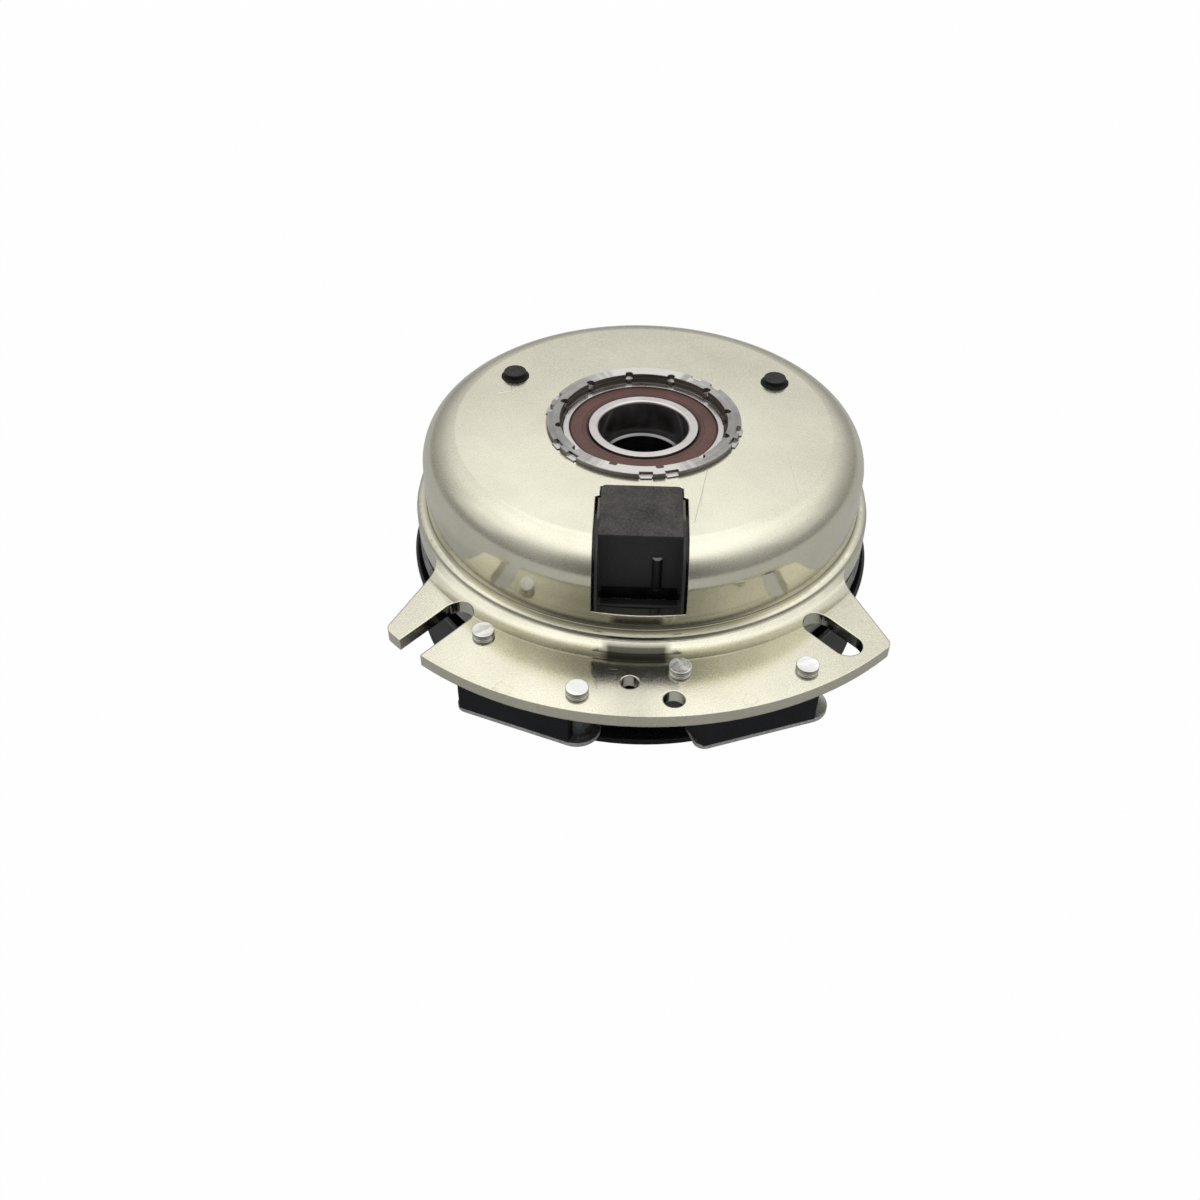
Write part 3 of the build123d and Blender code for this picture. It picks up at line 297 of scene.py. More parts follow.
def zincFinish():
    use = zincSettings
    material, tree, principled = shader("zincPlate", Metallic=1.0)
    z, radius = axisOf(tree, 2), radiusOf(tree)
    grain = noise(tree, place(tree), *use["grain"])
    tone = mixed(tree, noise(tree, place(tree), *use["cloud"]), grain, use["cloudShare"])
    colour = mixColour(tree, remap(tree, tone, *use["contrast"]), use["dark"], use["light"])
    # hair scratches: noise pulled out long in two directions
    hairs = []
    for stretch, turn, threshold in use["hair"]:
        pulled = noise(tree, place(tree, stretch, (0, 0, turn)), 1.0, 2, 0.5, 0.25)
        hairs.append(remap(tree, pulled, threshold, threshold + use["hairSoft"]))
    scratches = calc(tree, "MAXIMUM", *hairs)
    # the drawn wall is smoother than the top, and so is the flange, most of all beside its root
    above = remap(tree, z, *use["wallTop"], smooth=True)
    below = remap(tree, z, *use["wallFoot"], smooth=True)
    satin = calc(tree, "MAXIMUM", above, below)
    rough = remap(tree, satin, 0.0, 1.0, use["drawn"], use["satin"])
    onFlange = remap(tree, z, *use["flangeTop"])
    nearRoot = remap(tree, radius, *use["flangeReach"], smooth=True)
    soften = calc(tree, "MULTIPLY", onFlange, nearRoot)
    rough = calc(tree, "ADD", rough, calc(tree, "MULTIPLY", soften, use["flange"] - use["satin"]))
    rough = calc(tree, "ADD", rough, remap(tree, grain, 0.3, 0.7, *use["grainRough"]))
    rough = calc(tree, "ADD", rough, calc(tree, "MULTIPLY", scratches, use["scratchRough"]), clamp=True)
    deep = calc(tree, "MULTIPLY", scratches, use["hairDepth"])
    height = calc(tree, "SUBTRACT", calc(tree, "MULTIPLY", grain, satin), deep)
    normal = bump(tree, height, *use["bump"], edgeRound(tree, use["edge"]))
    # bump alone: the skirt turns out early under its shoulder, and the sweep flattens before its end
    form = calc(tree, "ADD", remap(tree, z, *use["skirtTurn"]), remap(tree, radius, *use["sweepFlat"]))
    normal = bump(tree, form, 1.0, 1.0, normal)
    # speckle in the plating, coarser to the eye on the flange
    strength = remap(tree, onFlange, 0, 1, *use["speckle"])
    speck = calc(tree, "MULTIPLY", remap(tree, grain, 0.3, 0.7, -1, 0.8), strength)
    colour = vectorCalc(tree, "SCALE", {0: colour, "Scale": calc(tree, "ADD", speck, 1.0)})
    feed(tree, principled, colour=colour, roughness=rough, normal=normal)
    paint(material, zincShade)
    zincMarks(material)
    return material


def turnedFinish(name, light, dark, roughness, pitch=2600, edge=0.0003, streak=0.8):
    # fine tool rings round the axis, and a soft mottle over them
    material, tree, principled = shader(
        name, **{"Metallic": 1.0, "Anisotropic": streak, "Anisotropic Rotation": 0.25}
    )
    tree.links.new(ringTangent(tree), principled.inputs["Tangent"])
    across = calc(tree, "MULTIPLY", radiusOf(tree), pitch)
    upward = calc(tree, "MULTIPLY", axisOf(tree, 2), pitch)
    rings = addNode(tree, "ShaderNodeCombineXYZ", {0: across, 1: 0.0, 2: upward}).outputs[0]
    lines = noise(tree, rings, 1.0, 3, 0.6)
    tone = mixed(tree, lines, noise(tree, place(tree), 160, 3, 0.6), 0.5)
    colour = mixColour(tree, remap(tree, tone, 0.38, 0.62), dark, light)
    rough = remap(tree, tone, 0.35, 0.65, roughness - 0.05, roughness + 0.07)
    normal = bump(tree, lines, 0.00002, 0.8, edgeRound(tree, edge))
    feed(tree, principled, colour=colour, roughness=rough, normal=normal)
    return material


def mouldedFinish(name, light, dark, roughness, size, depth, edge=0.0003, shine=0.5):
    # grained plastic, rubber or paint
    material, tree, principled = shader(name, **{"Specular IOR Level": shine})
    grain = noise(tree, place(tree), size, 4, 0.65)
    tone = mixed(tree, grain, noise(tree, place(tree), 90, 3, 0.6), 0.55)
    colour = mixColour(tree, remap(tree, tone, 0.38, 0.64), dark, light)
    rough = remap(tree, tone, 0.3, 0.7, roughness + 0.06, roughness - 0.06)
    normal = bump(tree, grain, depth, 0.8, edgeRound(tree, edge))
    feed(tree, principled, colour=colour, roughness=rough, normal=normal)
    return material


def speckledFinish(name, light, dark, roughness, size=1100, edge=0.0003):
    # pressed or ground metal with a fine speckle
    material, tree, principled = shader(name, Metallic=1.0)
    grain = noise(tree, place(tree), size, 3, 0.75)
    tone = mixed(tree, grain, noise(tree, place(tree), 120, 3, 0.6), 0.6)
    colour = mixColour(tree, remap(tree, tone, 0.37, 0.63), dark, light)
    rough = remap(tree, grain, 0.3, 0.7, roughness - 0.06, roughness + 0.08)
    normal = bump(tree, grain, 0.00003, 0.7, edgeRound(tree, edge))
    feed(tree, principled, colour=colour, roughness=rough, normal=normal)
    return material


# the staked hub: its inner wall is dark and the floors of its punch marks are bright; a painted
# highlight lies on the front and back of its faced top, as in the photo
hubSettings = {
    "finish": {
        "light": (0.62, 0.605, 0.59, 1), "dark": (0.36, 0.35, 0.335, 1), "roughness": 0.40, "streak": 0.96,
    },
    "bright": (0.84, 0.82, 0.78, 1), "share": 0.85, "sector": (0.62, 0.34), "ragged": 0.18,
    "face": (0.0733, 0.0735),
    "layers": (
        (
            (0.13, 0.108, 0.094, 1),
            (1.0, {"z": (0.0717, 0.0719, 0.0733, 0.0735), "radius": (0.0313, 0.0311)}),
            (1.0, {"z": (0.0703, 0.0705, 0.0717, 0.0719), "radius": (0.0284, 0.0282)}),
        ),
        (
            (0.86, 0.84, 0.81, 1),
            (1.0, {"z": (0.0713, 0.0715, 0.0717, 0.0719), "radius": (0.0282, 0.0284, 0.0311, 0.0313)}),
        ),
        # painted shade on the side of the head, on faces that look less far up
        (
            (0.13, 0.12, 0.11, 1),
            (0.60, {
                "radius": (0.0318, 0.0320), "z": (0.0712, 0.0716, 0.0730, 0.0734), "level": (0.7, 0.5),
            }),
        ),
        # painted highlight on the faces near the rim that look up, such as the notches' floors
        (
            (0.86, 0.84, 0.81, 1),
            (1.0, {
                "radius": (0.0298, 0.0300), "z": (0.0712, 0.0716, 0.0730, 0.0734), "level": (0.5, 0.7),
            }),
        ),
    ),
}


def hubFinish():
    use = hubSettings
    material = turnedFinish("turnedSteel", **use["finish"])
    tree = material.node_tree
    # the painted highlight sectors end raggedly, in streaks along the radius
    way = vectorCalc(tree, "NORMALIZE", {0: flatPlace(tree)})
    aside = calc(tree, "ABSOLUTE", addNode(tree, "ShaderNodeSeparateXYZ", {0: way}).outputs[0])
    ragged = remap(tree, noise(tree, way, 14, 4, 0.75), 0.3, 0.7, -use["ragged"], use["ragged"])
    highlightSector = remap(tree, calc(tree, "ADD", aside, ragged), *use["sector"], smooth=True)
    # painted highlight: the sectors are laid only on the faced top
    face = limited(tree, {"z": use["face"]}, use["share"])
    tint(material, calc(tree, "MULTIPLY", highlightSector, face), use["bright"])
    paint(material, use["layers"])
    return material


# the connector: a grained top and a plainer front wall, which painted light makes paler toward its
# foot; painted shade darkens the rib's shank and blackens the slot and a band above it, and painted
# highlights lie on the rib's tip and along the top's side edges
connectorSettings = {
    "finish": {
        "light": (0.078, 0.067, 0.062, 1), "dark": (0.005, 0.005, 0.005, 1), "roughness": 0.55,
        "size": 1500, "depth": 0.00010,
    },
    "wall": (0.027, 0.027, 0.031, 1), "wallFoot": (0.050, 0.050, 0.055, 1), "wallFall": (0.0725, 0.0512),
    "wallLimits": {"y": (-0.0601, -0.0603), "z": (0.0508, 0.0512, 0.0723, 0.0725)},
    "layers": (
        # painted shade on the rib's shank
        (
            (0.008, 0.008, 0.009, 1),
            (1.0, {
                "x": (0.0034, 0.0036, 0.0068, 0.0070), "y": (-0.0629, -0.0631),
                "z": (0.0532, 0.0534, 0.0646, 0.0648),
            }),
        ),
        # painted shade: black in the slot, and a black band above it
        (
            (0.001, 0.001, 0.001, 1),
            (1.0, {"y": (-0.0659, -0.0657, -0.0629, -0.0627), "z": (0.0513, 0.0510)}),
            (1.0, {"y": (-0.0601, -0.0603), "aside": (0.0118, 0.0116), "z": (0.0531, 0.0529)}),
        ),
        # painted highlight on the rib's tip
        (
            (0.34, 0.34, 0.35, 1),
            (1.0, {
                "x": (0.0034, 0.0036, 0.0068, 0.0070), "y": (-0.0629, -0.0631),
                "z": (0.0647, 0.0649, 0.0653, 0.0655),
            }),
        ),
        # painted highlight along the top's side edges
        (
            (0.20, 0.18, 0.14, 1),
            (1.0, {"aside": (0.0126, 0.0128), "z": (0.0712, 0.0716), "y": (-0.0540, -0.0520)}),
        ),
    ),
}


def connectorFinish():
    use = connectorSettings
    material = mouldedFinish("connectorPlastic", **use["finish"])
    tree = material.node_tree
    # painted light: the front wall grows paler toward its foot
    wall = mixColour(tree, remap(tree, axisOf(tree, 2), *use["wallFall"]), use["wall"], use["wallFoot"])
    tint(material, limited(tree, use["wallLimits"]), wall)
    paint(material, use["layers"])
    return material


# the groove colour is painted shade between the turns of wire
windingSettings = {
    "pitch": 0.0007, "groove": (0.20, 0.055, 0.02, 1), "crest": (0.62, 0.26, 0.10, 1), "roughness": 0.3,
}


def windingFinish(name):
    # turns of wire: bands along the height, with painted shade in the grooves between turns
    use = windingSettings
    material, tree, principled = shader(name, Metallic=0.8, Roughness=use["roughness"])
    turns = calc(tree, "SINE", calc(tree, "MULTIPLY", axisOf(tree, 2), 2 * pi / use["pitch"]))
    colour = mixColour(tree, remap(tree, turns, -1, 1), use["groove"], use["crest"])
    feed(tree, principled, colour=colour, normal=bump(tree, turns, 0.0001))
    return material


finishSettings = {
    "groundSteel": (turnedFinish, {
        "light": (0.74, 0.71, 0.70, 1), "dark": (0.60, 0.57, 0.56, 1), "roughness": 0.20, "pitch": 4200,
    }),
    "blackenedSteel": (turnedFinish, {
        "light": (0.060, 0.060, 0.062, 1), "dark": (0.026, 0.026, 0.027, 1), "roughness": 0.34,
        "pitch": 1800,
    }),
    "rotorSteel": (turnedFinish, {
        "light": (0.40, 0.40, 0.41, 1), "dark": (0.20, 0.20, 0.21, 1), "roughness": 0.30, "pitch": 1800,
    }),
    "armatureSteel": (turnedFinish, {
        "light": (0.46, 0.455, 0.45, 1), "dark": (0.20, 0.20, 0.20, 1), "roughness": 0.30, "pitch": 1500,
        "edge": 0.0006,
    }),
    "ballSteel": (speckledFinish, {
        "light": (0.80, 0.80, 0.81, 1), "dark": (0.74, 0.74, 0.76, 1), "roughness": 0.10, "size": 400,
        "edge": 0.0,
    }),
    "cageSteel": (speckledFinish, {
        "light": (0.52, 0.48, 0.42, 1), "dark": (0.40, 0.37, 0.32, 1), "roughness": 0.35,
    }),
    "bladeTin": (speckledFinish, {
        "light": (0.74, 0.72, 0.64, 1), "dark": (0.62, 0.60, 0.53, 1), "roughness": 0.26,
    }),
    "brakeSteel": (speckledFinish, {
        "light": (0.66, 0.66, 0.64, 1), "dark": (0.34, 0.34, 0.34, 1), "roughness": 0.34,
    }),
    "spacerSteel": (speckledFinish, {
        "light": (0.13, 0.135, 0.14, 1), "dark": (0.05, 0.05, 0.055, 1), "roughness": 0.34,
    }),
    "rivetAluminium": (speckledFinish, {
        "light": (0.95, 0.95, 0.94, 1), "dark": (0.80, 0.80, 0.79, 1), "roughness": 0.30, "size": 900,
    }),
    "springSteel": (speckledFinish, {
        "light": (0.33, 0.35, 0.40, 1), "dark": (0.22, 0.23, 0.27, 1), "roughness": 0.26,
    }),
    "snapRingSteel": (speckledFinish, {
        "light": (0.12, 0.12, 0.125, 1), "dark": (0.06, 0.06, 0.065, 1), "roughness": 0.4,
    }),
    "sealRubber": (mouldedFinish, {
        "light": (0.150, 0.058, 0.042, 1), "dark": (0.082, 0.031, 0.024, 1), "roughness": 0.40,
        "size": 1900, "depth": 0.00003,
    }),
    "plugRubber": (mouldedFinish, {
        "light": (0.052, 0.048, 0.048, 1), "dark": (0.022, 0.020, 0.020, 1), "roughness": 0.50,
        "size": 1300, "depth": 0.00005, "shine": 0.25,
    }),
    "bobbinNylon": (mouldedFinish, {
        "light": (0.66, 0.60, 0.48, 1), "dark": (0.56, 0.50, 0.39, 1), "roughness": 0.45,
        "size": 700, "depth": 0.00003,
    }),
    "pottingResin": (mouldedFinish, {
        "light": (0.022, 0.022, 0.024, 1), "dark": (0.010, 0.010, 0.011, 1), "roughness": 0.30,
        "size": 300, "depth": 0.00008,
    }),
    "blockPlastic": (mouldedFinish, {
        "light": (0.007, 0.009, 0.013, 1), "dark": (0.003, 0.004, 0.006, 1), "roughness": 0.42,
        "size": 800, "depth": 0.00004, "shine": 0.18,
    }),
    "frictionPad": (mouldedFinish, {
        "light": (0.12, 0.085, 0.06, 1), "dark": (0.04, 0.03, 0.024, 1), "roughness": 0.75,
        "size": 1300, "depth": 0.0001,
    }),
    "pulleyPaint": (mouldedFinish, {
        "light": (0.007, 0.007, 0.008, 1), "dark": (0.005, 0.005, 0.006, 1), "roughness": 0.28,
        "size": 900, "depth": 0.00002, "edge": 0.0005,
    }),
    "copperWire": (windingFinish, {}),
}

layerSettings = {
    # the chamfer of the rotor hub's bore is lighter
    "blackenedSteel": (
        ((0.42, 0.42, 0.42, 1), (1.0, {"radius": (0.0135, 0.0133), "z": (0.0578, 0.0579)})),
    ),
    # painted reflection: a dark band round the sides of the rivet heads
    "rivetAluminium": (
        ((0.16, 0.16, 0.16, 1), (0.72, {"z": (0.0418, 0.0420, 0.0431, 0.0433)})),
    ),
    # painted shade: the plugs' flanks are black below their tops
    "plugRubber": (
        ((0.003, 0.003, 0.003, 1), (1.0, {"z": (0.0741, 0.0739)})),
    ),
    # painted shade: black in the seals' gap at the inner ring and in their fine grooves
    "sealRubber": (
        ((0.010, 0.006, 0.005, 1), (1.0, {"radius": (0.01855, 0.01865, 0.01900, 0.01910)})),
        ((0.010, 0.006, 0.005, 1), (0.55, {"radius": (0.02030, 0.02040, 0.02047, 0.02057)})),
        ((0.010, 0.006, 0.005, 1), (0.8, {"radius": (0.02453, 0.02463, 0.02495, 0.02505)})),
    ),
}

finishes = {name: make(name, **use) for name, (make, use) in finishSettings.items()}
for name, layers in layerSettings.items():
    paint(finishes[name], layers)
finishes["zincPlate"] = zincFinish()
finishes["turnedSteel"] = hubFinish()
finishes["connectorPlastic"] = connectorFinish()
print("finishes made")

nodesWith = {
    "zincPlate": ("field_shell",),
    "turnedSteel": ("bearing_hub",),
    "connectorPlastic": ("connector_housing",),
    "groundSteel": (
        "field_bearing_outer_ring", "field_bearing_inner_ring", "pulley_bearing_outer_ring",
        "pulley_bearing_inner_ring",
    ),
    "blackenedSteel": ("rotor_hub",),
    "rotorSteel": ("rotor_disc",),
    "armatureSteel": ("armature_plate",),
    "ballSteel": ("field_bearing_balls", "pulley_bearing_balls"),
    "cageSteel": ("field_bearing_cage", "pulley_bearing_cage"),
    "bladeTin": ("terminal_pins",),
    "brakeSteel": ("brake_plate_left", "brake_plate_right"),
    "spacerSteel": ("brake_spacers", "spring_spacers"),
    "rivetAluminium": ("brake_rivets", "hub_rivets", "pulley_spring_rivets", "armature_spring_rivets"),
    "springSteel": ("leaf_springs",),
    "snapRingSteel": ("pulley_snap_ring",),
    "sealRubber": ("field_bearing_seals", "pulley_bearing_seals"),
    "plugRubber": ("shell_plugs",),
    "bobbinNylon": ("coil_bobbin",),
    "copperWire": ("coil_winding",),
    "pottingResin": ("coil_potting",),
    "blockPlastic": ("brake_block_left", "brake_block_right"),
    "frictionPad": ("rotor_friction_ring",),
    "pulleyPaint": ("pulley_upper_half", "pulley_lower_half", "pulley_hub"),
}
for finishName, nodeNames in nodesWith.items():
    for nodeName in nodeNames:
        for slotOfNode in nodes[nodeName].material_slots:
            slotOfNode.material = finishes[finishName]
print("frame dressed")


def ringQuads(rowCount, around):
    # a face between each place, the next round its ring and their neighbours in the next ring; the
    # last ring joins the first
    i, j = np.arange(rowCount)[:, None], np.arange(around)[None, :]
    iNext, jNext = (i + 1) % rowCount, (j + 1) % around
    corners = (i * around + j, i * around + jNext, iNext * around + jNext, iNext * around + j)
    return np.stack(np.broadcast_arrays(*corners), -1)


def addPiece(mesh, finishName, sharpFrom=50):
    # smooth faces, with edges kept sharp where they turn by more than sharpFrom degrees
    mesh.polygons.foreach_set("use_smooth", np.ones(len(mesh.polygons), bool))
    mesh.set_sharp_from_angle(angle=radians(sharpFrom))
    mesh.materials.append(finishes[finishName])
    piece = bpy.data.objects.new(mesh.name, mesh)
    scene.collection.objects.link(piece)
    return piece


# turned pieces: an outline carried round one or more axes
def softOutline(corners, closed=False, steps=6):
    # corners are (radius, height, rounding) in millimetres; each becomes a short parabola,
    # (1-t)^2 a + 2t(1-t) corner + t^2 b, where a and b lie rounding away on its two sides
    spots = np.array([corner[:2] for corner in corners], float) / 1000
    cut = np.array([corner[2] for corner in corners], float)[:, None] / 1000
    before, after = np.roll(spots, 1, axis=0), np.roll(spots, -1, axis=0)
    if not closed:
        before[0], after[-1] = spots[0], spots[-1]

    def toward(other):
        away = other - spots
        return spots + cut * away / np.maximum(np.linalg.norm(away, axis=1, keepdims=True), 1e-9)

    t = np.linspace(0, 1, steps)[:, None, None]
    curve = (1 - t) ** 2 * toward(before) + 2 * t * (1 - t) * spots + t ** 2 * toward(after)
    curve = curve.transpose(1, 0, 2).reshape(-1, 2)
    step = np.linalg.norm(curve - np.roll(curve, 1, axis=0), axis=1)
    if not closed:
        step[0] = 1
    return curve[step > 1e-7]


def turnedPiece(name, outline, axes, finishName, around=96, lift=None):
    # a surface of two parameters, outline point (r, h) and angle a, round each axis (cx, cy):
    # x = cx + r cos a, y = cy + r sin a, z = h + lift(r, h, a, which axis)
    axes = np.array(axes, float) / 1000
    onAxis = outline[:, 0] < 1e-7
    rows = outline[~onAxis]
    rowCount, loop = len(rows), not onAxis.any()
    angle = np.arange(around) * 2 * pi / around
    copy = np.arange(len(axes))[:, None, None]
    r, h, a = rows[None, :, 0, None], rows[None, :, 1, None], angle[None, None, :]
    cx, cy = axes[:, 0, None, None], axes[:, 1, None, None]
    rise = 0 if lift is None else lift(r, h, a, copy)
    grid = np.stack(np.broadcast_arrays(cx + r * np.cos(a), cy + r * np.sin(a), h + rise), axis=-1)
    spots = grid.reshape(len(axes), -1, 3)
    quads = ringQuads(rowCount, around)
    faces = [(quads if loop else quads[:-1]).reshape(-1, 4)]
    if not loop:
        # the two ends close in a fan round a point on the axis, at the mean height of the last ring
        foot, crown = spots[:, :around].mean(axis=1), spots[:, -around:].mean(axis=1)
        spots = np.concatenate([spots, foot[:, None], crown[:, None]], axis=1)
        ring, ringNext = np.arange(around), (np.arange(around) + 1) % around
        last = (rowCount - 1) * around
        faces.append(np.stack([np.full(around, rowCount * around), ringNext, ring], -1))
        faces.append(np.stack([np.full(around, rowCount * around + 1), last + ring, last + ringNext], -1))
    perCopy = spots.shape[1]
    allFaces = [
        face for n in range(len(axes)) for block in faces for face in (block + n * perCopy).tolist()
    ]
    mesh = bpy.data.meshes.new(name)
    mesh.from_pydata(spots.reshape(-1, 3).tolist(), [], allFaces)
    return addPiece(mesh, finishName)


def standIn(piece, node, body):
    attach(piece, body)
    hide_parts(node)


# pressed rivet heads, each dented a little differently by the tool; lengths in millimetres
rivetSettings = {
    "axes": ((-47.177, -73.501), (-17.197, -96.628), (12.917, -86.378), (50.708, -84.032)),
    "shank": 2.6, "head": 3.45, "top": 43.40, "flange": 41.40, "plate": 26.10, "foot": 24.60,
    "dents": (  # depth in metres, direction, and offset as a share of the head's radius
        (0.00010, 0.7, 0.4), (0.00003, 2.1, 1.2), (0.00012, 5.3, 1.0), (0.00010, 3.6, 0.2),
    ),
    "middle": 0.6, "width": 0.28, "around": 72,
}


def makeRivets():
    use = rivetSettings
    head, shank, top, flange, plate, foot = (
        use[key] for key in ("head", "shank", "top", "flange", "plate", "foot")
    )
    outline = softOutline((
        (0, foot, 0), (head, foot, 0.45), (head, plate, 0.03), (shank, plate, 0.0), (shank, flange, 0.0),
        (head - 0.10, flange, 0.05), (head - 0.02, flange + 0.35, 0.1), (head - 0.12, flange + 0.70, 0.1),
        (head, flange + 1.05, 0.15), (head, top, 0.22), (2.6, top, 0), (1.9, top - 0.01, 0),
        (1.2, top - 0.015, 0), (0.6, top - 0.015, 0), (0, top - 0.015, 0),
    ))
    depth, way, offset = (np.array(column)[:, None, None] for column in zip(*use["dents"]))
    reach, topAt = head / 1000, top / 1000

    def dent(r, h, a, copy):
        # a ridge across the top: depth times one less a bell curve of the distance from a slanted line
        across = r / reach * np.sin(a - way) - (offset - use["middle"])
        onTop = np.clip((h - topAt + 0.0001) / 0.00008, 0, 1) * np.clip((1 - r / reach) * 6, 0, 1)
        return -depth * onTop * (1 - np.exp(-((across / use["width"]) ** 2)))

    rivets = turnedPiece("brakeRivets", outline, use["axes"], "rivetAluminium", use["around"], dent)
    standIn(rivets, "brake_rivets", "field")


# rubber plugs: a flat crown, a hollow flank and a thin lip on the shell; lengths in millimetres
plugSettings = {
    "axes": ((45.486, 27.008), (-45.486, 27.008)), "shell": 72.10, "wall": 3.6, "sag": 0.05,
    "tilt": (1.0, 2), "crown": (1.5, 0.7), "neck": 3.8, "around": 72,
}


def makePlugs():
    use = plugSettings
    z, under = use["shell"], use["shell"] - use["wall"]
    outline = softOutline((
        (0, under - 1.1, 0), (4.0, under - 1.1, 0.3), (4.0, under, 0.1), (3.15, under, 0.1),
        (3.15, z, 0.1), (4.9, z, 0.05), (4.88, z + 0.30, 0.12), (4.25, z + 0.50, 0.35),
        (3.95, z + 1.20, 0.4), (3.85, z + 2.14, 0.28), (2.4, z + 2.12, 0.3), (0, z + 2.10, 0),
    ))

    def sag(r, h, a, copy):
        # the crown leans: sag times the cosine of the angle, more toward the rim, none on the flank
        turn, apart = use["tilt"]
        start, span = use["crown"]
        onCrown = np.clip((h * 1000 - z - start) / span, 0, 1)
        return use["sag"] / 1000 * np.cos(a - turn - apart * copy) * onCrown * r * 1000 / use["neck"]

    plugs = turnedPiece("rubberPlugs", outline, use["axes"], "plugRubber", use["around"], sag)
    standIn(plugs, "shell_plugs", "field")


# bearing seals: a flat web with a rounded lip on the inner ring and a groove at both edges; each
# face is its height and its depth, in millimetres
sealSettings = {
    "field": {
        "node": "field_bearing_seals", "body": "field", "inner": 18.60, "outer": 24.98,
        "faces": {"Upper": (70.20, -1.2), "Lower": (57.80, 1.2)},
    },
    "pulley": {
        "node": "pulley_bearing_seals", "body": "pulley", "inner": 21.27, "outer": 28.30,
        "faces": {"Upper": (18.30, -1.2), "Lower": (4.90, 1.2)},
    },
}


def sealOutline(inner, outer, face, depth):
    # the same section for both faces, turned over for the lower one
    out = 1 if depth < 0 else -1
    corners = [
        (inner, face + depth, 0.1), (outer, face + depth, 0.1), (outer, face - 0.30 * out, 0.1),
        (outer - 0.35, face - 0.30 * out, 0.1), (outer - 0.60, face, 0.15), (inner + 2.05, face, 0.15),
        (inner + 1.80, face - 0.14 * out, 0.1), (inner + 1.45, face - 0.14 * out, 0.1),
        (inner + 1.20, face, 0.15), (inner + 0.75, face, 0.15), (inner + 0.50, face - 0.35 * out, 0.1),
        (inner, face - 0.40 * out, 0.1),
    ]
    return corners if out > 0 else corners[::-1]


def makeSeals():
    for bearing, use in sealSettings.items():
        for end, face in use["faces"].items():
            outline = softOutline(sealOutline(use["inner"], use["outer"], *face), True)
            seal = turnedPiece(f"{bearing}Seal{end}", outline, ((0, 0),), "sealRubber", 160)
            standIn(seal, use["node"], use["body"])


makeRivets()
makePlugs()
makeSeals()
print("turned pieces made")


# leaf springs: strips with round ends and a hole at each end
springSettings = {
    "names": ("leafSpringA", "leafSpringB", "leafSpringC"), "inner": 46.0, "outer": 62.0, "turn": 38.0,
    "half": 6.0, "hole": 2.55, "bottom": 24.40, "top": 25.60, "edge": 0.15, "clamped": (4.2, 5.0),
    "holeSteps": 12, "alongSteps": 30, "capSteps": 24,
}


def springRing(length):
    # once round the strip: a centre c, a direction n away from it and the inner reach g, which is
    # the hole's edge near a hole, sqrt(hole^2 - d^2) at d from its centre, and 0 between the holes
    use = springSettings
    hole = use["hole"]
    nearHole = hole * np.sin(np.linspace(0, pi / 2, use["holeSteps"]))
    middle = np.linspace(hole, length - hole, use["alongSteps"])[1:-1]
    s = np.concatenate([nearHole, middle, length - nearHole[::-1]])
    fromHole = np.minimum(s, length - s)
    g = np.sqrt(np.clip(hole ** 2 - fromHole ** 2, 0, None))
    g[g < 1e-4] = 0
    t = np.linspace(pi / 2, -pi / 2, use["capSteps"])[1:-1]
    flat, cap = np.zeros_like(s), np.full_like(t, hole)
    centre = np.concatenate([
        np.stack([s, flat], 1), np.stack([np.full_like(t, length), 0 * t], 1),
        np.stack([s[::-1], flat], 1), np.stack([0 * t, 0 * t], 1),
    ])
    away = np.concatenate([
        np.stack([flat, flat + 1], 1), np.stack([np.cos(t), np.sin(t)], 1),
        np.stack([flat, flat - 1], 1), np.stack([-np.cos(t), -np.sin(t)], 1),
    ])
    return centre, away, np.concatenate([g, cap, g[::-1], cap])


def springMesh(name, start, along, length):
    # a surface of two parameters, place round the strip and row of its section: c + reach n
    use = springSettings
    half, edge, top, bottom = use["half"], use["edge"], use["top"], use["bottom"]
    centre, away, inner = springRing(length)
    outer, chamfer = np.full_like(inner, half), np.full_like(inner, half - edge)
    reach = np.stack([inner, chamfer, outer, outer, chamfer, inner])
    height = np.array([top, top, top - edge, bottom + edge, bottom, bottom])
    local = centre[None] + reach[:, :, None] * away[None]
    aside = np.array([-along[1], along[0]])
    spots = np.empty(local.shape[:2] + (3,))
    spots[..., :2] = start + local[..., :1] * along + local[..., 1:] * aside
    spots[..., 2] = height[:, None]
    quads = ringQuads(*spots.shape[:2])
    # the last row of quads is the holes' walls, so it is kept only beside the holes
    wall = (inner > 0) | (np.roll(inner, -1) > 0)
    faces = quads[:-1].reshape(-1, 4).tolist() + quads[-1][wall].tolist()
    mesh = bpy.data.meshes.new(name)
    mesh.from_pydata((spots.reshape(-1, 3) / 1000).tolist(), [], faces)
    closed = bmesh.new()
    closed.from_mesh(mesh)
    bmesh.ops.remove_doubles(closed, verts=closed.verts, dist=1e-6)
    bmesh.ops.recalc_face_normals(closed, faces=closed.faces)
    closed.to_mesh(mesh)
    closed.free()
    return mesh


def makeSprings():
    use = springSettings
    for index, name in enumerate(use["names"]):
        turn = 2 * pi * index / len(use["names"])
        pulleyEnd = use["inner"] * np.array([cos(turn), sin(turn)])
        turn += radians(use["turn"])
        armatureEnd = use["outer"] * np.array([cos(turn), sin(turn)])
        length = float(np.linalg.norm(armatureEnd - pulleyEnd))
        along = (armatureEnd - pulleyEnd) / length
        spring = addPiece(springMesh(name, pulleyEnd, along, length), "springSteel")
        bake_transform(spring)
        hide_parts("leaf_springs")


makeSprings()
print("leaf springs made")


# floor: white to the camera, and clear from below, so that the underside can be looked at
floorSettings = {
    "size": 6.0, "gap": 0.0002, "colour": (0.48, 0.48, 0.48, 1), "roughness": 0.9,
    "white": {"Is Camera Ray": 0.985, "Is Transmission Ray": 0.985, "Is Glossy Ray": 0.10},
}


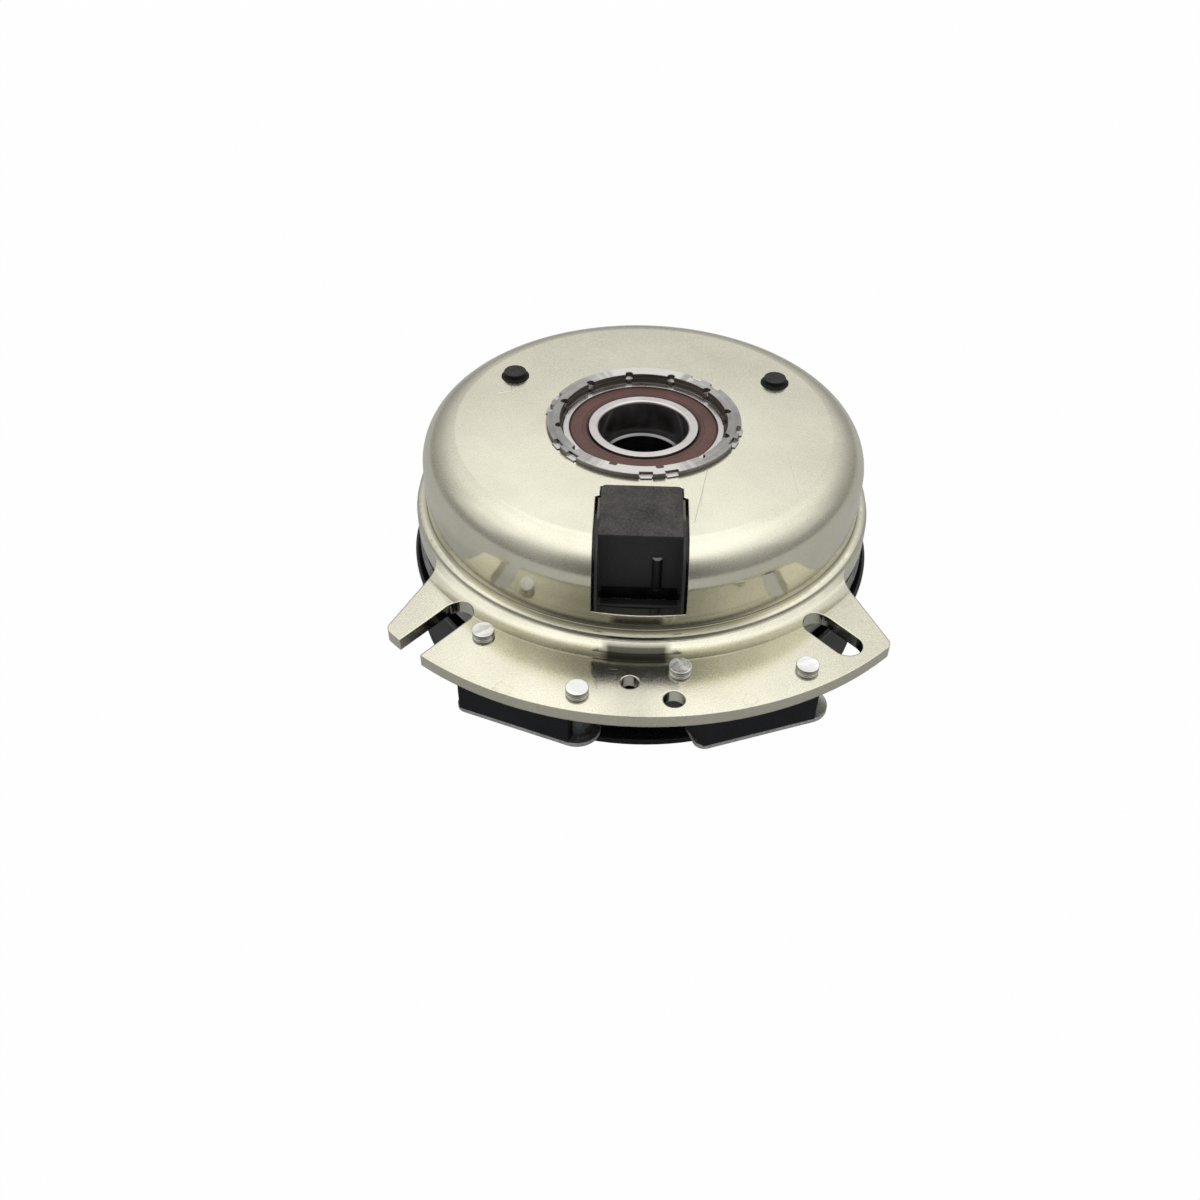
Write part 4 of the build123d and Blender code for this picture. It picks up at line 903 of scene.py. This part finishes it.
def makeFloor():
    use = floorSettings
    half, z = use["size"] / 2, cadBounds[0][2] - use["gap"]
    mesh = bpy.data.meshes.new("floor")
    mesh.from_pydata(
        [(-half, -half, z), (half, -half, z), (half, half, z), (-half, half, z)], [], [(0, 1, 2, 3)]
    )
    floor = bpy.data.objects.new("floor", mesh)
    scene.collection.objects.link(floor)
    look = {"Base Color": use["colour"], "Roughness": use["roughness"]}
    material, tree, principled = shader("paleFloor", **look)
    path = addNode(tree, "ShaderNodeLightPath")
    seen = 0.0
    for ray, share in use["white"].items():
        seen = calc(tree, "MAXIMUM", calc(tree, "MULTIPLY", path.outputs[ray], share), seen)
    glow = addNode(tree, "ShaderNodeEmission", {"Color": (1, 1, 1, 1), "Strength": 1.0}).outputs[0]
    above = addNode(tree, "ShaderNodeMixShader", {0: seen, 1: principled.outputs[0], 2: glow}).outputs[0]
    under = addNode(tree, "ShaderNodeNewGeometry").outputs["Backfacing"]
    clear = addNode(tree, "ShaderNodeBsdfTransparent").outputs[0]
    shown = addNode(tree, "ShaderNodeMixShader", {0: under, 1: above, 2: clear}).outputs[0]
    output = [n for n in tree.nodes if n.type == "OUTPUT_MATERIAL"][0]
    tree.links.new(shown, output.inputs[0])
    mesh.materials.append(material)


# world: stops are how far a direction points toward the tent's top, and how bright it is there
worldSettings = {
    "toward": (0.0, 0.11, 0.994), "warmth": (1, 0.995, 0.98),
    "front": (0.0, -0.88, 0.47), "frontSpan": (0.66, 1.0), "frontDark": 0.60,
    "stops": (
        (0.0, 0.26), (0.17, 0.32), (0.34, 0.40), (0.50, 0.52),
        (0.64, 0.72), (0.77, 0.98), (0.87, 1.22), (0.94, 1.31),
    ),
}


def makeWorld():
    # a soft tent, darker on the side behind the camera, and plain white to the camera itself
    use = worldSettings
    world = bpy.data.worlds.new("studio")
    scene.world = world
    world.use_nodes = True
    tree = world.node_tree
    tree.nodes.clear()
    direction = addNode(tree, "ShaderNodeTexCoord").outputs["Generated"]

    def facing(way):
        return vectorCalc(tree, "DOT_PRODUCT", {0: direction, 1: Vector(way).normalized()}, "Value")

    ramp = addNode(tree, "ShaderNodeValToRGB", {0: facing(use["toward"])})
    stops = use["stops"]
    while len(ramp.color_ramp.elements) < len(stops):
        ramp.color_ramp.elements.new(0.5)
    for element, (at, level) in zip(ramp.color_ramp.elements, stops):
        element.position = at
        element.color = (*(level * part for part in use["warmth"]), 1)
    front = remap(tree, facing(use["front"]), *use["frontSpan"], 1.0, 1 - use["frontDark"], True)
    shaded = vectorCalc(tree, "SCALE", {0: ramp.outputs[0], "Scale": front})
    path = addNode(tree, "ShaderNodeLightPath")
    seen = calc(tree, "MAXIMUM", path.outputs["Is Camera Ray"], path.outputs["Is Transmission Ray"])
    colour = mixColour(tree, seen, shaded, (1, 1, 1, 1))
    glow = addNode(tree, "ShaderNodeBackground", {"Color": colour, "Strength": 1.0}).outputs[0]
    addNode(tree, "ShaderNodeOutputWorld", {0: glow})


lampAim = (0, 0, 0.04)
lampSettings = {
    "back": {"at": (-0.02, 0.80, 0.84), "size": 0.46, "glow": 0.30},
    "sideLeft": {"at": (-0.85, 0.0, 0.60), "size": 0.56, "glow": 0.22},
    "sideRight": {"at": (0.85, 0.0, 0.60), "size": 0.56, "glow": 0.16},
}


def makeLamps():
    for name, use in lampSettings.items():
        lamp = bpy.data.lights.new(name, "AREA")
        lamp.energy = use["glow"] * pi * use["size"] ** 2  # glow is how bright the panel looks
        lamp.size = use["size"]
        holder = bpy.data.objects.new(name, lamp)
        scene.collection.objects.link(holder)
        holder.location = use["at"]
        aim = Vector(lampAim) - holder.location
        holder.rotation_euler = aim.to_track_quat("-Z", "Y").to_euler()


cameraSettings = {
    "at": (-0.0022, -0.3409, 0.2923), "heading": 2.0, "pitch": 41.36, "roll": 0.46,
    "lens": 36.0, "sensor": 36.0, "nearest": 0.01,
}


def makeCamera():
    use = cameraSettings
    heading, pitch, roll = (radians(use[k]) for k in ("heading", "pitch", "roll"))
    ahead = Vector((-sin(heading) * cos(pitch), cos(heading) * cos(pitch), -sin(pitch)))
    side = Vector((cos(heading), sin(heading), 0))
    top = side.cross(ahead)
    right = side * cos(roll) + top * sin(roll)
    up = top * cos(roll) - side * sin(roll)
    camera = bpy.data.cameras.new("camera")
    camera.lens = use["lens"]
    camera.sensor_width = use["sensor"]
    camera.clip_start = use["nearest"]
    holder = bpy.data.objects.new("camera", camera)
    scene.collection.objects.link(holder)
    turn = Matrix((right, up, -ahead)).transposed().to_4x4()
    holder.matrix_world = Matrix.Translation(use["at"]) @ turn
    scene.camera = holder


makeFloor()
makeWorld()
makeLamps()
makeCamera()
scene.view_settings.view_transform = "Standard"
print("stage, lamps and camera set")
